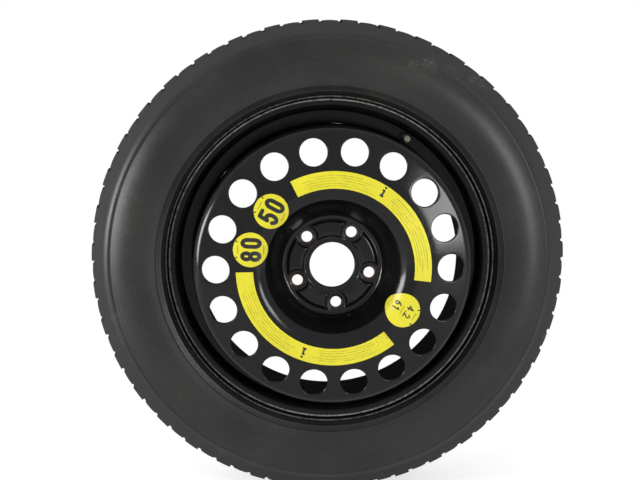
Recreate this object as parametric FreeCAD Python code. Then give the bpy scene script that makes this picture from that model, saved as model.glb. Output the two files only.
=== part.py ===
"""Temporary spare wheel: pressed steel disc welded into a narrow rolled rim, tyre, snap-in valve and labels.

The wheel turns about Y. The outboard face looks towards -Y, and the origin lies on the axis
in the plane where the disc meets the hub. Sections are drawn as (radius, reach) points, where
reach is the distance outboard of that plane.
"""
import FreeCAD, Part
import math
import os

Vector = FreeCAD.Vector

# Hub
BORE_RADIUS = 33.3
BOLT_CIRCLE_RADIUS = 56.0
BOLT_COUNT = 5
BOLT_PHASE_DEG = 59.7
BOLT_HOLE_RADIUS = 8.0
BOLT_SEAT_RADIUS = 12.0
BOLT_HOLE_LAND = 1.8
BOLT_POCKET_RADIUS = 14.5
BOLT_POCKET_SLOPE = 0.6
BOLT_CUP_WALL = 2.8
BORE_EDGE_ROUND = 1.5

# Pressed disc
DISC_THICKNESS = 4.0
RIDGE_INNER_RADIUS = 41.0
RIDGE_OUTER_RADIUS = 67.5
RIDGE_RISE = 4.5
RIDGE_FLANK = 4.5
PAD_RADIUS = 73.0
CREST_REACH = 52.0
CREST_RUN = 42.0
LABEL_SHELF_REACH = 49.0
LABEL_SHELF_RUN = 57.0
SHOULDER_REACH = 36.5
SHOULDER_SET_IN = 4.1
SKIRT_STEP = 2.0
SKIRT_STEP_RUN = 9.0
SKIRT_SET_IN = 4.0
RIDGE_BEND = 5.0
PAD_BEND = 6.0
CREST_BEND = 26.0
SHELF_BEND = 120.0
SHOULDER_BEND = 15.0
SKIRT_BEND = 12.0
VENT_COUNT = 18
VENT_RADIUS = 19.9
VENT_SET_IN = 33.4

# Rolled rim
RIM_THICKNESS = 2.8
RIM_OFFSET = 88.0
RIM_WIDTH = 101.6
BEAD_SEAT_RADIUS = 231.0
BEAD_SEAT_TAPER = 1.5
FLANGE_HEIGHT = 17.3
FLANGE_LIP = 11.0
WELL_DEPTH = 21.0
WELL_FRONT = 24.0
WELL_FRONT_RUN = 1.5
WELL_FLOOR = 32.0
WELL_REAR_RUN = 17.0
BEAD_CORNER = 6.5
FLANGE_CURL = 8.5
WELL_BEND = 3.5
WELL_FLOOR_BEND = 1.5
WELL_REAR_BEND = 12.0
PRESS_CLEARANCE = 0.1
WELD_LEG = 3.6
WELD_COUNT = 6
WELD_SPAN_DEG = 38.0

# Tyre
TYRE_RADIUS = 363.0
TYRE_WIDTH = 156.0
TREAD_HALF_WIDTH = 53.0
TREAD_CROWN_DROP = 5.0
TREAD_DEPTH = 13.0
SIDEWALL = 7.0
BULGE_RADIUS = 297.0
SHOULDER_DROP = 20.0
SHOULDER_OUT = 9.0
BEAD_WIDTH = 17.0
BEAD_HEIGHT = 10.0
BEAD_SLANT = 3.0
BEAD_CLEARANCE = 0.3
GROOVE_DEPTH = 6.5
GROOVE_WIDTH = 6.0
GROOVE_PLACES = (13.0, 33.0)
NOTCH_COUNT = 78
NOTCH_WIDTH = 6.0
NOTCH_LENGTH = 16.0
NOTCH_DEPTH = 9.0
SHALLOW_NOTCH_DEPTH = 6.5

# Directions of the tyre's curves, as (radius, sideways) steps
BEAD_DIRECTION = (0.25, 1.0)
SHOULDER_DIRECTION = (1.0, -0.62)
AIR_SIDE_DIRECTION = (1.0, 0.5)
CROWN_DIRECTION = (0.0, -1.0)

# Valve, with lengths along its own axis from the outer face of the rim wall
VALVE_ANGLE_DEG = 58.2
VALVE_PLACE = 8.9
VALVE_HOLE_RADIUS = 5.75
VALVE_BASE_RADIUS = 7.3
VALVE_BASE_HEIGHT = 5.0
VALVE_BASE_LEAD = 2.5
VALVE_SHOULDER_RADIUS = 6.9
VALVE_NECK_HEIGHT = 3.0
VALVE_TAPER_HEIGHT = 14.0
VALVE_TOP_RADIUS = 5.0
VALVE_RUBBER_LENGTH = 20.0
VALVE_STEM_RADIUS = 3.8
VALVE_STEM_BORE = 1.9
VALVE_STEM_LENGTH = 33.0
CORE_RADIUS = 2.5
CORE_LENGTH = 9.0
CORE_BORE = 1.3
CORE_SEAL_WIDTH = 1.6
CORE_SEAL_DEPTH = 0.5
CORE_STEP_DEPTH = 14.0
PIN_RADIUS = 0.75
PIN_HEAD_RADIUS = 1.1
PIN_HEAD_HEIGHT = 0.8
PIN_SET_BACK = 0.6
PIN_TRAVEL = 1.5
PIN_CLEARANCE = 0.2
POPPET_RADIUS = 1.5
POPPET_HEIGHT = 1.4
SPRING_WIRE_RADIUS = 0.15
SPRING_TURNS = 4
SPRING_HEIGHT = 5.4
CAP_RADIUS = 4.9
CAP_LENGTH = 11.5
CAP_TOP = 2.0
CAP_CHAMFER = 1.0
CAP_CHAMFER_HEIGHT = 1.7
CAP_SEAL_HEIGHT = 0.8
CAP_FLUTES = 18
CAP_FLUTE_RADIUS = 0.45
CAP_FLUTE_LENGTH = 9.2
VALVE_CLEARANCE = 0.05

# Printed labels
LABEL_THICKNESS = 0.25
LABEL_GAP = 0.1
ARC_SET_IN = 62.6
ARC_WIDTH = 24.6
ARC_UPPER_DEG = (-8.0, 116.4)
ARC_LOWER_DEG = (181.3, 308.2)
ROUND_LABEL_RADIUS = 24.7
ROUND_LABELS = {
    "label_speed_lower": (80.3, 136.9),
    "label_speed_upper": (80.1, 166.2),
    "label_pressure": (86.6, -31.3),
}

# Overrun of the cutting tools
CUT_MARGIN = 5.0

# Values worked out from the sizes above
RIM_MIDDLE = -RIM_OFFSET
RIM_HALF = RIM_WIDTH / 2
FLANGE_RADIUS = BEAD_SEAT_RADIUS + FLANGE_HEIGHT
WELL_RADIUS = BEAD_SEAT_RADIUS - WELL_DEPTH
WELL_INNER_RADIUS = WELL_RADIUS - RIM_THICKNESS
SKIRT_RADIUS = WELL_INNER_RADIUS - PRESS_CLEARANCE
SHOULDER_RADIUS = SKIRT_RADIUS - SHOULDER_SET_IN
LABEL_SHELF_RADIUS = SHOULDER_RADIUS - LABEL_SHELF_RUN
CREST_RADIUS = LABEL_SHELF_RADIUS - CREST_RUN
VENT_CIRCLE_RADIUS = SHOULDER_RADIUS - VENT_SET_IN
ARC_OUTER_RADIUS = SHOULDER_RADIUS - ARC_SET_IN
ARC_INNER_RADIUS = ARC_OUTER_RADIUS - ARC_WIDTH
FLOOR_FRONT_REACH = RIM_MIDDLE + WELL_FRONT - WELL_FRONT_RUN
FLOOR_REAR_REACH = FLOOR_FRONT_REACH - WELL_FLOOR
SKIRT_END_REACH = FLOOR_REAR_REACH + WELD_LEG + SKIRT_SET_IN
VALVE_WALL = -RIM_THICKNESS - VALVE_CLEARANCE
VALVE_LOW = VALVE_WALL - VALVE_BASE_HEIGHT
CORE_HIGH = VALVE_STEM_LENGTH - PIN_SET_BACK - PIN_HEAD_HEIGHT - PIN_TRAVEL - PIN_CLEARANCE
CORE_LOW = CORE_HIGH - CORE_LENGTH
CAP_CEILING = VALVE_STEM_LENGTH + VALVE_CLEARANCE + CAP_SEAL_HEIGHT
BEAD_HALF = RIM_HALF - BEAD_CLEARANCE
BEAD_RADIUS = BEAD_SEAT_RADIUS + BEAD_CLEARANCE
BEAD_TOE_DROP = BEAD_SEAT_TAPER * BEAD_WIDTH / (RIM_HALF - WELL_FRONT)
OUTBOARD = Vector(0, -1, 0)
ORIGIN = Vector(0, 0, 0)


def section_point(point):
    """Place a (radius, reach) pair in the drawing plane of the sections."""
    return Vector(point[0], -point[1], 0)


def turned(face, start_deg=0.0, span_deg=360.0):
    """Turn a section about the wheel axis; angles run from +X towards +Z."""
    solid = face.revolve(ORIGIN, OUTBOARD, span_deg)
    solid.rotate(ORIGIN, OUTBOARD, start_deg)
    return solid


def on_circle(radius, angle_deg, reach=0.0):
    """Give the point at a radius and a clock angle on the outboard side."""
    angle = math.radians(angle_deg)
    return Vector(radius * math.cos(angle), -reach, radius * math.sin(angle))


def rounded_edges(points, radii):
    """Join points by lines, with a tangent arc of the given radius at each inner point."""
    vectors = [section_point(p) for p in points]
    edges = []
    start = vectors[0]
    for before, corner, after, radius in zip(vectors, vectors[1:], vectors[2:], radii):
        to_start = (before - corner).normalize()
        to_end = (after - corner).normalize()
        half_angle = to_start.getAngle(to_end) / 2
        trim = radius / math.tan(half_angle)
        arc_start = corner + to_start * trim
        arc_end = corner + to_end * trim
        bisector = (to_start + to_end).normalize()
        arc_middle = corner + bisector * (radius / math.sin(half_angle) - radius)
        edges.append(Part.LineSegment(start, arc_start).toShape())
        edges.append(Part.Arc(arc_start, arc_middle, arc_end).toShape())
        start = arc_end
    edges.append(Part.LineSegment(start, vectors[-1]).toShape())
    return edges


def unit(before, after):
    """Give the direction from one (radius, reach) pair to the next."""
    length = math.hypot(after[0] - before[0], after[1] - before[1])
    return (after[0] - before[0]) / length, (after[1] - before[1]) / length


def parallel_points(points, distance):
    """Shift an open outline sideways, to the left of its run, keeping its corners mitred."""
    runs = [unit(a, b) for a, b in zip(points, points[1:])]
    shifted = []
    for index, point in enumerate(points):
        before = runs[max(index - 1, 0)]
        after = runs[min(index, len(runs) - 1)]
        scale = distance / (1 + before[0] * after[0] + before[1] * after[1])
        across = (before[1] + after[1]) * scale
        along = (before[0] + after[0]) * scale
        shifted.append((point[0] - across, point[1] + along))
    return shifted


def parallel_radii(points, radii, distance):
    """Give the bend radii of the shifted outline, so that each bend keeps its centre."""
    changed = []
    for before, corner, after, radius in zip(points, points[1:], points[2:], radii):
        run_in = unit(before, corner)
        run_out = unit(corner, after)
        left_turn = run_in[0] * run_out[1] - run_in[1] * run_out[0] > 0
        changed.append(radius - distance if left_turn else radius + distance)
    return changed


def sheet_section(points, radii, distance, gap=0.0):
    """Close a bent sheet's section between an outline and its parallel at a distance."""
    near = rounded_edges(parallel_points(points, gap), parallel_radii(points, radii, gap))
    reach = gap + distance
    far = rounded_edges(parallel_points(points, reach), parallel_radii(points, radii, reach))
    first = Part.LineSegment(near[0].Vertexes[0].Point, far[0].Vertexes[0].Point).toShape()
    last = Part.LineSegment(near[-1].Vertexes[-1].Point, far[-1].Vertexes[-1].Point).toShape()
    return Part.Face(Part.Wire(Part.__sortEdges__(near + far + [first, last])))


def polygon_section(points):
    """Close a straight-sided section."""
    vectors = [section_point(p) for p in points]
    return Part.Face(Part.makePolygon(vectors + [vectors[0]]))


def cone(centre, low_radius, high_radius, height):
    """Stand a cone or cylinder on a point of the hub plane, pointing outboard."""
    if low_radius == high_radius:
        return Part.makeCylinder(low_radius, height, centre, OUTBOARD)
    return Part.makeCone(low_radius, high_radius, height, centre, OUTBOARD)


def cylinder(centre, radius, height):
    """Stand a cylinder on a point of the hub plane, pointing outboard."""
    return cone(centre, radius, radius, height)


def ring_places(radius, count, phase_deg=0.0):
    """Space points evenly on a circle of the hub plane."""
    return [on_circle(radius, phase_deg + 360.0 * k / count) for k in range(count)]


def disc_outline():
    """Give the outboard outline of the pressed disc from the bore to the end of its skirt."""
    low = DISC_THICKNESS
    high = DISC_THICKNESS + RIDGE_RISE
    points = [
        (BORE_RADIUS, low),
        (RIDGE_INNER_RADIUS, low),
        (RIDGE_INNER_RADIUS + RIDGE_FLANK, high),
        (RIDGE_OUTER_RADIUS - RIDGE_FLANK, high),
        (RIDGE_OUTER_RADIUS, low),
        (PAD_RADIUS, low),
        (CREST_RADIUS, CREST_REACH),
        (LABEL_SHELF_RADIUS, LABEL_SHELF_REACH),
        (SHOULDER_RADIUS, SHOULDER_REACH),
        (SKIRT_RADIUS - SKIRT_STEP, FLOOR_FRONT_REACH + SKIRT_STEP_RUN),
        (SKIRT_RADIUS, FLOOR_FRONT_REACH),
        (SKIRT_RADIUS, SKIRT_END_REACH),
    ]
    radii = [
        RIDGE_BEND, RIDGE_BEND, RIDGE_BEND, RIDGE_BEND, PAD_BEND,
        CREST_BEND, SHELF_BEND, SHOULDER_BEND, SKIRT_BEND, SKIRT_BEND,
    ]
    return points, radii


def is_bore_mouth(edge):
    """Say whether an edge is the outboard circle of the centre bore."""
    box = edge.BoundBox
    flat = abs(box.YMin + DISC_THICKNESS) + abs(box.YMax + DISC_THICKNESS) < PRESS_CLEARANCE
    return flat and box.XMax < (BORE_RADIUS + RIDGE_INNER_RADIUS) / 2


def wheel_disc():
    """Press the dished disc, then pierce its vents and form the bolt pockets."""
    points, radii = disc_outline()
    disc = turned(sheet_section(points, radii, -DISC_THICKNESS))
    disc = disc.makeFillet(BORE_EDGE_ROUND, [e for e in disc.Edges if is_bore_mouth(e)])
    bolts = ring_places(BOLT_CIRCLE_RADIUS, BOLT_COUNT, BOLT_PHASE_DEG)
    rise = DISC_THICKNESS + RIDGE_RISE
    cups = [cone(p, BOLT_POCKET_RADIUS, BOLT_POCKET_RADIUS + BOLT_CUP_WALL, rise) for p in bolts]
    cut_height = rise + CUT_MARGIN
    pocket_top = BOLT_POCKET_RADIUS + BOLT_POCKET_SLOPE * cut_height
    seat_height = DISC_THICKNESS - BOLT_HOLE_LAND
    vents = ring_places(VENT_CIRCLE_RADIUS, VENT_COUNT)
    tools = [cylinder(p, VENT_RADIUS, CREST_REACH + CUT_MARGIN) for p in vents]
    for bolt in bolts:
        seat = bolt + OUTBOARD * BOLT_HOLE_LAND
        tools.append(cylinder(bolt, BOLT_HOLE_RADIUS, DISC_THICKNESS))
        tools.append(cone(seat, BOLT_HOLE_RADIUS, BOLT_SEAT_RADIUS, seat_height))
        tools.append(cone(bolt + OUTBOARD * DISC_THICKNESS, BOLT_POCKET_RADIUS, pocket_top, cut_height))
    disc = disc.multiFuse(cups)
    return disc.cut(Part.makeCompound(tools))


def rim_outline():
    """Give the tyre side of the rolled rim from its outboard lip to its inboard lip."""
    ledge = BEAD_SEAT_RADIUS - BEAD_SEAT_TAPER
    points = [
        (FLANGE_RADIUS, RIM_MIDDLE + RIM_HALF + FLANGE_LIP),
        (FLANGE_RADIUS, RIM_MIDDLE + RIM_HALF),
        (BEAD_SEAT_RADIUS, RIM_MIDDLE + RIM_HALF),
        (ledge, RIM_MIDDLE + WELL_FRONT),
        (WELL_RADIUS, FLOOR_FRONT_REACH),
        (WELL_RADIUS, FLOOR_REAR_REACH),
        (ledge, FLOOR_REAR_REACH - WELL_REAR_RUN),
        (BEAD_SEAT_RADIUS, RIM_MIDDLE - RIM_HALF),
        (FLANGE_RADIUS, RIM_MIDDLE - RIM_HALF),
        (FLANGE_RADIUS, RIM_MIDDLE - RIM_HALF - FLANGE_LIP),
    ]
    radii = [
        FLANGE_CURL, BEAD_CORNER, WELL_BEND, WELL_FLOOR_BEND,
        WELL_REAR_BEND, WELL_REAR_BEND, BEAD_CORNER, FLANGE_CURL,
    ]
    return points, radii


def rim_barrel():
    """Roll the rim with its drop centre and pierce the valve hole."""
    points, radii = rim_outline()
    barrel = turned(sheet_section(points, radii, -RIM_THICKNESS))
    low = Vector(0, 0, -RIM_THICKNESS - CUT_MARGIN)
    drill = Part.makeCylinder(VALVE_HOLE_RADIUS, RIM_THICKNESS + CUT_MARGIN * 2, low)
    drill.Placement = valve_placement()
    return barrel.cut(drill)


def valve_placement():
    """Give the place of the valve on the air side of the well's outboard wall, square to that wall."""
    wall_height = WELL_DEPTH - BEAD_SEAT_TAPER
    tilt = math.atan2(WELL_FRONT_RUN, wall_height)
    radius = WELL_RADIUS + VALVE_PLACE - RIM_THICKNESS * math.sin(tilt)
    reach = FLOOR_FRONT_REACH + VALVE_PLACE * math.tan(tilt) + RIM_THICKNESS * math.cos(tilt)
    outward = on_circle(-math.sin(tilt), VALVE_ANGLE_DEG, math.cos(tilt))
    turn = FreeCAD.Rotation(Vector(0, 0, 1), outward)
    return FreeCAD.Placement(on_circle(radius, VALVE_ANGLE_DEG, reach), turn)


def disc_welds():
    """Lay the fillet beads between the end of the skirt and the floor of the well."""
    end = SKIRT_END_REACH - PRESS_CLEARANCE
    outer = WELL_INNER_RADIUS - PRESS_CLEARANCE
    bead = polygon_section([(outer, end), (outer, end - WELD_LEG), (outer - WELD_LEG, end)])
    starts = [360.0 * k / WELD_COUNT for k in range(WELD_COUNT)]
    return Part.makeCompound([turned(bead, start, WELD_SPAN_DEG) for start in starts])


def across(radius, place, sign):
    """Give the point of a tyre section at a distance to one side of the rim's middle."""
    return radius, RIM_MIDDLE + sign * place


def spline(points, first_direction, last_direction, sign):
    """Run a smooth curve through points of one side, with set directions at its ends."""
    ends = [section_point((step[0], sign * step[1])) for step in (first_direction, last_direction)]
    curve = Part.BSplineCurve()
    curve.interpolate(Points=[section_point(p) for p in points], InitialTangent=ends[0], FinalTangent=ends[1])
    return curve.toShape()


def line(start, end):
    """Join two section points by a straight edge."""
    return Part.LineSegment(section_point(start), section_point(end)).toShape()


def arc(start, middle, end):
    """Join two section points by an arc through a third."""
    return Part.Arc(section_point(start), section_point(middle), section_point(end)).toShape()


def tread_edge(sign):
    """Give the point where the tread meets the shoulder on one side."""
    return across(TYRE_RADIUS - TREAD_CROWN_DROP, TREAD_HALF_WIDTH, sign)


def bead_toe(sign):
    """Give the innermost point of the bead on one side."""
    return across(BEAD_RADIUS - BEAD_TOE_DROP, BEAD_HALF - BEAD_WIDTH, sign)


def tyre_side(sign):
    """Draw one side of the tyre's outer skin, from the bead toe over the flange up to the tread edge."""
    quarter = 1 - math.sqrt(0.5)
    curl = FLANGE_CURL + BEAD_CLEARANCE
    leave = FLANGE_RADIUS + BEAD_CLEARANCE
    heel_low = across(BEAD_RADIUS, BEAD_HALF - BEAD_CORNER, sign)
    heel_middle = across(BEAD_RADIUS + BEAD_CORNER * quarter, BEAD_HALF - BEAD_CORNER * quarter, sign)
    heel_high = across(BEAD_RADIUS + BEAD_CORNER, BEAD_HALF, sign)
    curl_start = across(leave - curl, BEAD_HALF, sign)
    curl_middle = across(leave - curl * quarter, BEAD_HALF + curl * quarter, sign)
    curl_end = across(leave, BEAD_HALF + curl, sign)
    bulge = across(BULGE_RADIUS, TYRE_WIDTH / 2, sign)
    shoulder = across(TYRE_RADIUS - SHOULDER_DROP, TREAD_HALF_WIDTH + SHOULDER_OUT, sign)
    return [
        line(bead_toe(sign), heel_low),
        arc(heel_low, heel_middle, heel_high),
        line(heel_high, curl_start),
        arc(curl_start, curl_middle, curl_end),
        spline([curl_end, bulge, shoulder], BEAD_DIRECTION, SHOULDER_DIRECTION, sign),
        line(shoulder, tread_edge(sign)),
    ]


def tyre_air_side(sign):
    """Draw one side of the tyre's air side, from the bead toe up to the crown."""
    top = across(BEAD_RADIUS + BEAD_HEIGHT, BEAD_HALF - BEAD_WIDTH + BEAD_SLANT, sign)
    bulge = across(BULGE_RADIUS, TYRE_WIDTH / 2 - SIDEWALL, sign)
    crown = across(TYRE_RADIUS - TREAD_DEPTH, 0.0, sign)
    return [
        line(bead_toe(sign), top),
        spline([top, bulge, crown], AIR_SIDE_DIRECTION, CROWN_DIRECTION, sign),
    ]


def tread_groove(place, sign):
    """Make the ring that cuts a groove round the tread."""
    low = RIM_MIDDLE + sign * place - GROOVE_WIDTH / 2
    floor = TYRE_RADIUS - GROOVE_DEPTH
    top = TYRE_RADIUS + CUT_MARGIN
    return turned(polygon_section([
        (floor, low), (floor, low + GROOVE_WIDTH), (top, low + GROOVE_WIDTH), (top, low)]))


def shoulder_notch(index, sign):
    """Make the block that cuts a notch into the tread's edge; deep and shallow ones take turns."""
    deep_turn = 1 if sign > 0 else 0
    depth = NOTCH_DEPTH if index % 2 == deep_turn else SHALLOW_NOTCH_DEPTH
    length = NOTCH_LENGTH + SHOULDER_OUT + CUT_MARGIN
    inner = TREAD_HALF_WIDTH - NOTCH_LENGTH
    start = RIM_OFFSET + inner if sign < 0 else RIM_OFFSET - inner - length
    notch = Part.makeBox(depth + CUT_MARGIN, length, NOTCH_WIDTH)
    notch.translate(Vector(TYRE_RADIUS - depth, start, -NOTCH_WIDTH / 2))
    notch.rotate(ORIGIN, OUTBOARD, 360.0 / NOTCH_COUNT * index)
    return notch


def tyre():
    """Mould the tyre with its circumferential grooves and shoulder notches."""
    skin = [arc(tread_edge(1), (TYRE_RADIUS, RIM_MIDDLE), tread_edge(-1))]
    tools = []
    for sign in (1, -1):
        skin += tyre_side(sign) + tyre_air_side(sign)
        tools += [tread_groove(place, sign) for place in GROOVE_PLACES]
        tools += [shoulder_notch(index, sign) for index in range(NOTCH_COUNT)]
    body = turned(Part.Face(Part.Wire(Part.__sortEdges__(skin))))
    return body.cut(Part.makeCompound(tools))


def spun(points):
    """Turn a closed section of (radius, height) points about the valve's own axis."""
    vectors = [Vector(radius, 0, height) for radius, height in points]
    return Part.Face(Part.makePolygon(vectors + [vectors[0]])).revolve(ORIGIN, Vector(0, 0, 1), 360)


def placed(solid):
    """Move a piece from the valve's own axis to its place in the rim."""
    moved = solid.copy()
    moved.Placement = valve_placement().multiply(moved.Placement)
    return moved


def valve_rubber():
    """Mould the rubber body, which snaps into the hole with the rim's wall in its groove."""
    neck = VALVE_HOLE_RADIUS - VALVE_CLEARANCE
    return spun([
        (VALVE_STEM_RADIUS, VALVE_LOW), (neck, VALVE_LOW), (VALVE_BASE_RADIUS, VALVE_LOW + VALVE_BASE_LEAD),
        (VALVE_BASE_RADIUS, VALVE_WALL), (neck, VALVE_WALL), (neck, VALVE_CLEARANCE),
        (VALVE_SHOULDER_RADIUS, VALVE_CLEARANCE), (VALVE_SHOULDER_RADIUS, VALVE_NECK_HEIGHT),
        (VALVE_TOP_RADIUS, VALVE_TAPER_HEIGHT), (VALVE_TOP_RADIUS, VALVE_RUBBER_LENGTH),
        (VALVE_STEM_RADIUS, VALVE_RUBBER_LENGTH)])


def valve_stem():
    """Turn the brass tube, with the wider bore for the core at its top."""
    core_bore = CORE_RADIUS + VALVE_CLEARANCE
    step = VALVE_STEM_LENGTH - CORE_STEP_DEPTH
    return spun([
        (VALVE_STEM_BORE, VALVE_LOW), (VALVE_STEM_RADIUS, VALVE_LOW), (VALVE_STEM_RADIUS, VALVE_STEM_LENGTH),
        (core_bore, VALVE_STEM_LENGTH), (core_bore, step), (VALVE_STEM_BORE, step)])


def valve_core_body():
    """Turn the core's sleeve, with the groove for its seal at the lower end."""
    inside = CORE_RADIUS - CORE_SEAL_DEPTH
    groove = CORE_LOW + CORE_SEAL_WIDTH
    return spun([
        (CORE_BORE, CORE_LOW), (inside, CORE_LOW), (inside, groove), (CORE_RADIUS, groove),
        (CORE_RADIUS, CORE_HIGH), (CORE_BORE, CORE_HIGH)])


def valve_core_seal():
    """Make the ring in the core's groove."""
    inside = CORE_RADIUS - CORE_SEAL_DEPTH + VALVE_CLEARANCE
    top = CORE_LOW + CORE_SEAL_WIDTH - VALVE_CLEARANCE
    return spun([(inside, CORE_LOW), (CORE_RADIUS, CORE_LOW), (CORE_RADIUS, top), (inside, top)])


def valve_core_pin():
    """Turn the pin, with its head at the top and the poppet that shuts the core at the bottom."""
    top = VALVE_STEM_LENGTH - PIN_SET_BACK
    neck = top - PIN_HEAD_HEIGHT
    poppet = CORE_LOW - VALVE_CLEARANCE
    return spun([
        (0, poppet - POPPET_HEIGHT), (POPPET_RADIUS, poppet - POPPET_HEIGHT), (POPPET_RADIUS, poppet),
        (PIN_RADIUS, poppet), (PIN_RADIUS, neck), (PIN_HEAD_RADIUS, neck), (PIN_HEAD_RADIUS, top), (0, top)])


def valve_core_spring():
    """Wind the spring between the pin and the core's sleeve."""
    coil = (CORE_BORE + PIN_RADIUS) / 2
    helix = Part.makeHelix(SPRING_HEIGHT / SPRING_TURNS, SPRING_HEIGHT, coil)
    wire_end = Part.Wire(Part.makeCircle(SPRING_WIRE_RADIUS, Vector(coil, 0, 0), Vector(0, 1, 0)))
    spring = Part.Wire(helix).makePipeShell([wire_end], True, True)
    spring.translate(Vector(0, 0, CORE_LOW + SPRING_WIRE_RADIUS * 2))
    return spring


def valve_cap():
    """Mould the cap with its chamfered top and the flutes round its side."""
    bore = VALVE_STEM_RADIUS + VALVE_CLEARANCE
    top = CAP_CEILING + CAP_TOP
    low = top - CAP_LENGTH
    cap = spun([
        (bore, low), (CAP_RADIUS, low), (CAP_RADIUS, top - CAP_CHAMFER_HEIGHT),
        (CAP_RADIUS - CAP_CHAMFER, top), (0, top), (0, CAP_CEILING), (bore, CAP_CEILING)])
    flutes = []
    for k in range(CAP_FLUTES):
        angle = 2 * math.pi * k / CAP_FLUTES
        place = Vector(CAP_RADIUS * math.cos(angle), CAP_RADIUS * math.sin(angle), low)
        flutes.append(Part.makeCylinder(CAP_FLUTE_RADIUS, CAP_FLUTE_LENGTH, place))
    return cap.cut(Part.makeCompound(flutes))


def valve_cap_seal():
    """Make the ring that the cap presses on to the stem's end."""
    low = CAP_CEILING - CAP_SEAL_HEIGHT
    outer = VALVE_STEM_RADIUS
    return spun([(CORE_RADIUS, low), (outer, low), (outer, CAP_CEILING), (CORE_RADIUS, CAP_CEILING)])


def label_section():
    """Draw the section of a label laid on the crest of the disc."""
    points, radii = disc_outline()
    first = points.index((PAD_RADIUS, DISC_THICKNESS))
    return sheet_section(points[first:first + 4], radii[first:first + 2], LABEL_THICKNESS, LABEL_GAP)


def arc_label(start_deg, end_deg):
    """Cut a printed band from the label layer between two clock angles."""
    layer = turned(label_section(), start_deg, end_deg - start_deg)
    height = CREST_REACH + CUT_MARGIN
    band = cylinder(ORIGIN, ARC_OUTER_RADIUS, height).cut(cylinder(ORIGIN, ARC_INNER_RADIUS, height))
    return layer.common(band)


def round_label(set_in, angle_deg):
    """Cut a round label from the label layer, with its middle a set distance inside the shoulder."""
    middle = on_circle(SHOULDER_RADIUS - set_in, angle_deg)
    disc = cylinder(middle, ROUND_LABEL_RADIUS, CREST_REACH + CUT_MARGIN)
    return turned(label_section()).common(disc)


def all_parts():
    """Gather every piece under its own name."""
    parts = {
        "tyre": tyre(), "rim_barrel": rim_barrel(), "wheel_disc": wheel_disc(), "disc_welds": disc_welds(),
        "label_arc_upper": arc_label(*ARC_UPPER_DEG), "label_arc_lower": arc_label(*ARC_LOWER_DEG)}
    for name, place in ROUND_LABELS.items():
        parts[name] = round_label(*place)
    for make in (valve_rubber, valve_stem, valve_core_body, valve_core_seal, valve_core_pin,
                 valve_core_spring, valve_cap, valve_cap_seal):
        parts[make.__name__] = placed(make())
    return parts


os.makedirs("parts", exist_ok=True)
for part_name, shape in all_parts().items():
    print(part_name, shape.isValid(), len(shape.Solids), round(shape.Volume, 1), shape.BoundBox)
    shape.exportStep("parts/" + part_name + ".step")
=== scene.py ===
"""Looks of a temporary spare wheel: black pressed disc in a narrow rim, tyre, valve and yellow labels."""
import logging
import math
from dataclasses import dataclass, field
from enum import Enum
from typing import ClassVar

import bmesh
import bpy
import numpy as np
from mathutils import Matrix, Vector


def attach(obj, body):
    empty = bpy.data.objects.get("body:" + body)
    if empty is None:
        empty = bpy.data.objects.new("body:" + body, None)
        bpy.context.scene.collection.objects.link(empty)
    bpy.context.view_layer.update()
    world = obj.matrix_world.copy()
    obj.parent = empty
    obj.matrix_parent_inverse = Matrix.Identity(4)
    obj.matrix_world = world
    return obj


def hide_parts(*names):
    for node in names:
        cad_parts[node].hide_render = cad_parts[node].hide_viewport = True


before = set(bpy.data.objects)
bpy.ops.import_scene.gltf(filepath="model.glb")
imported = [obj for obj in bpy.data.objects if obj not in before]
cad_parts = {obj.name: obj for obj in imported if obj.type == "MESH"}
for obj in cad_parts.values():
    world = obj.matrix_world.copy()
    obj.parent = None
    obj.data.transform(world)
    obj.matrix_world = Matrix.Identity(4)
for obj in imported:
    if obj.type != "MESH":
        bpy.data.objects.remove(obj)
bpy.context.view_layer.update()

LOG = logging.getLogger("spare_wheel")
MM = 0.001
TURN = 2.0 * math.pi
Array = np.ndarray


class Body(Enum):
    """The body that the new pieces ride on; the valve's pin and cap keep their CAD solids and bodies."""

    WHEEL = "wheel"


class Slot(Enum):
    """The finishes that the record names."""

    TYRE = "tyre_rubber"
    PAINT = "black_paint"
    FILM = "yellow_film"
    VALVE = "valve_rubber"
    BRASS = "brass"
    SEAL = "seal_rubber"
    SPRING = "spring_steel"
    CAP = "cap_plastic"


def on_wheel(radius: Array, reach: Array, angle: Array) -> Array:
    """Place points given about the wheel axis.

    The axis is Y with the outboard side towards -Y, so a point is
    (radius cos angle, -reach, radius sin angle).

    Args:
        radius: distance from the axis.
        reach: distance outboard of the hub plane.
        angle: clock angle from +X towards +Z.

    Returns:
        The points, with X, Y and Z along the last axis.
    """
    radius, reach, angle = np.broadcast_arrays(radius, reach, angle)
    return np.stack([radius * np.cos(angle), -reach, radius * np.sin(angle)], axis=-1)


def off_surface(radius: Array, reach: Array, lean: Array, angle: Array, height: Array | float) -> Array:
    """Place points at a height above a turned surface, along its normal.

    Args:
        radius: distance of the surface from the axis.
        reach: distance of the surface outboard of the hub plane.
        lean: the normal's radius and reach parts along the last axis.
        angle: clock angle.
        height: distance from the surface, less than 0 behind it.

    Returns:
        The points in space.
    """
    return on_wheel(radius + height * lean[..., 0], reach + height * lean[..., 1], angle)


def in_plan(radius: Array | float, angle: Array | float) -> Array:
    """Give the plan points (radius cos angle, radius sin angle), with X and Z along the last axis."""
    return np.stack([radius * np.cos(angle), radius * np.sin(angle)], axis=-1)


def polar(flat: Array) -> tuple[Array, Array]:
    """Give the distances from the axis and the clock angles of plan points of (X, Z)."""
    return np.hypot(flat[..., 0], flat[..., 1]), np.arctan2(flat[..., 1], flat[..., 0])


def all_round(count: int) -> Array:
    """Give a number of equally spaced angles, all the way round."""
    return TURN * np.arange(count) / count


def unit(vectors: Array) -> Array:
    """Scale vectors along the last axis to a length of one."""
    return vectors / np.linalg.norm(vectors, axis=-1, keepdims=True)


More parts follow.
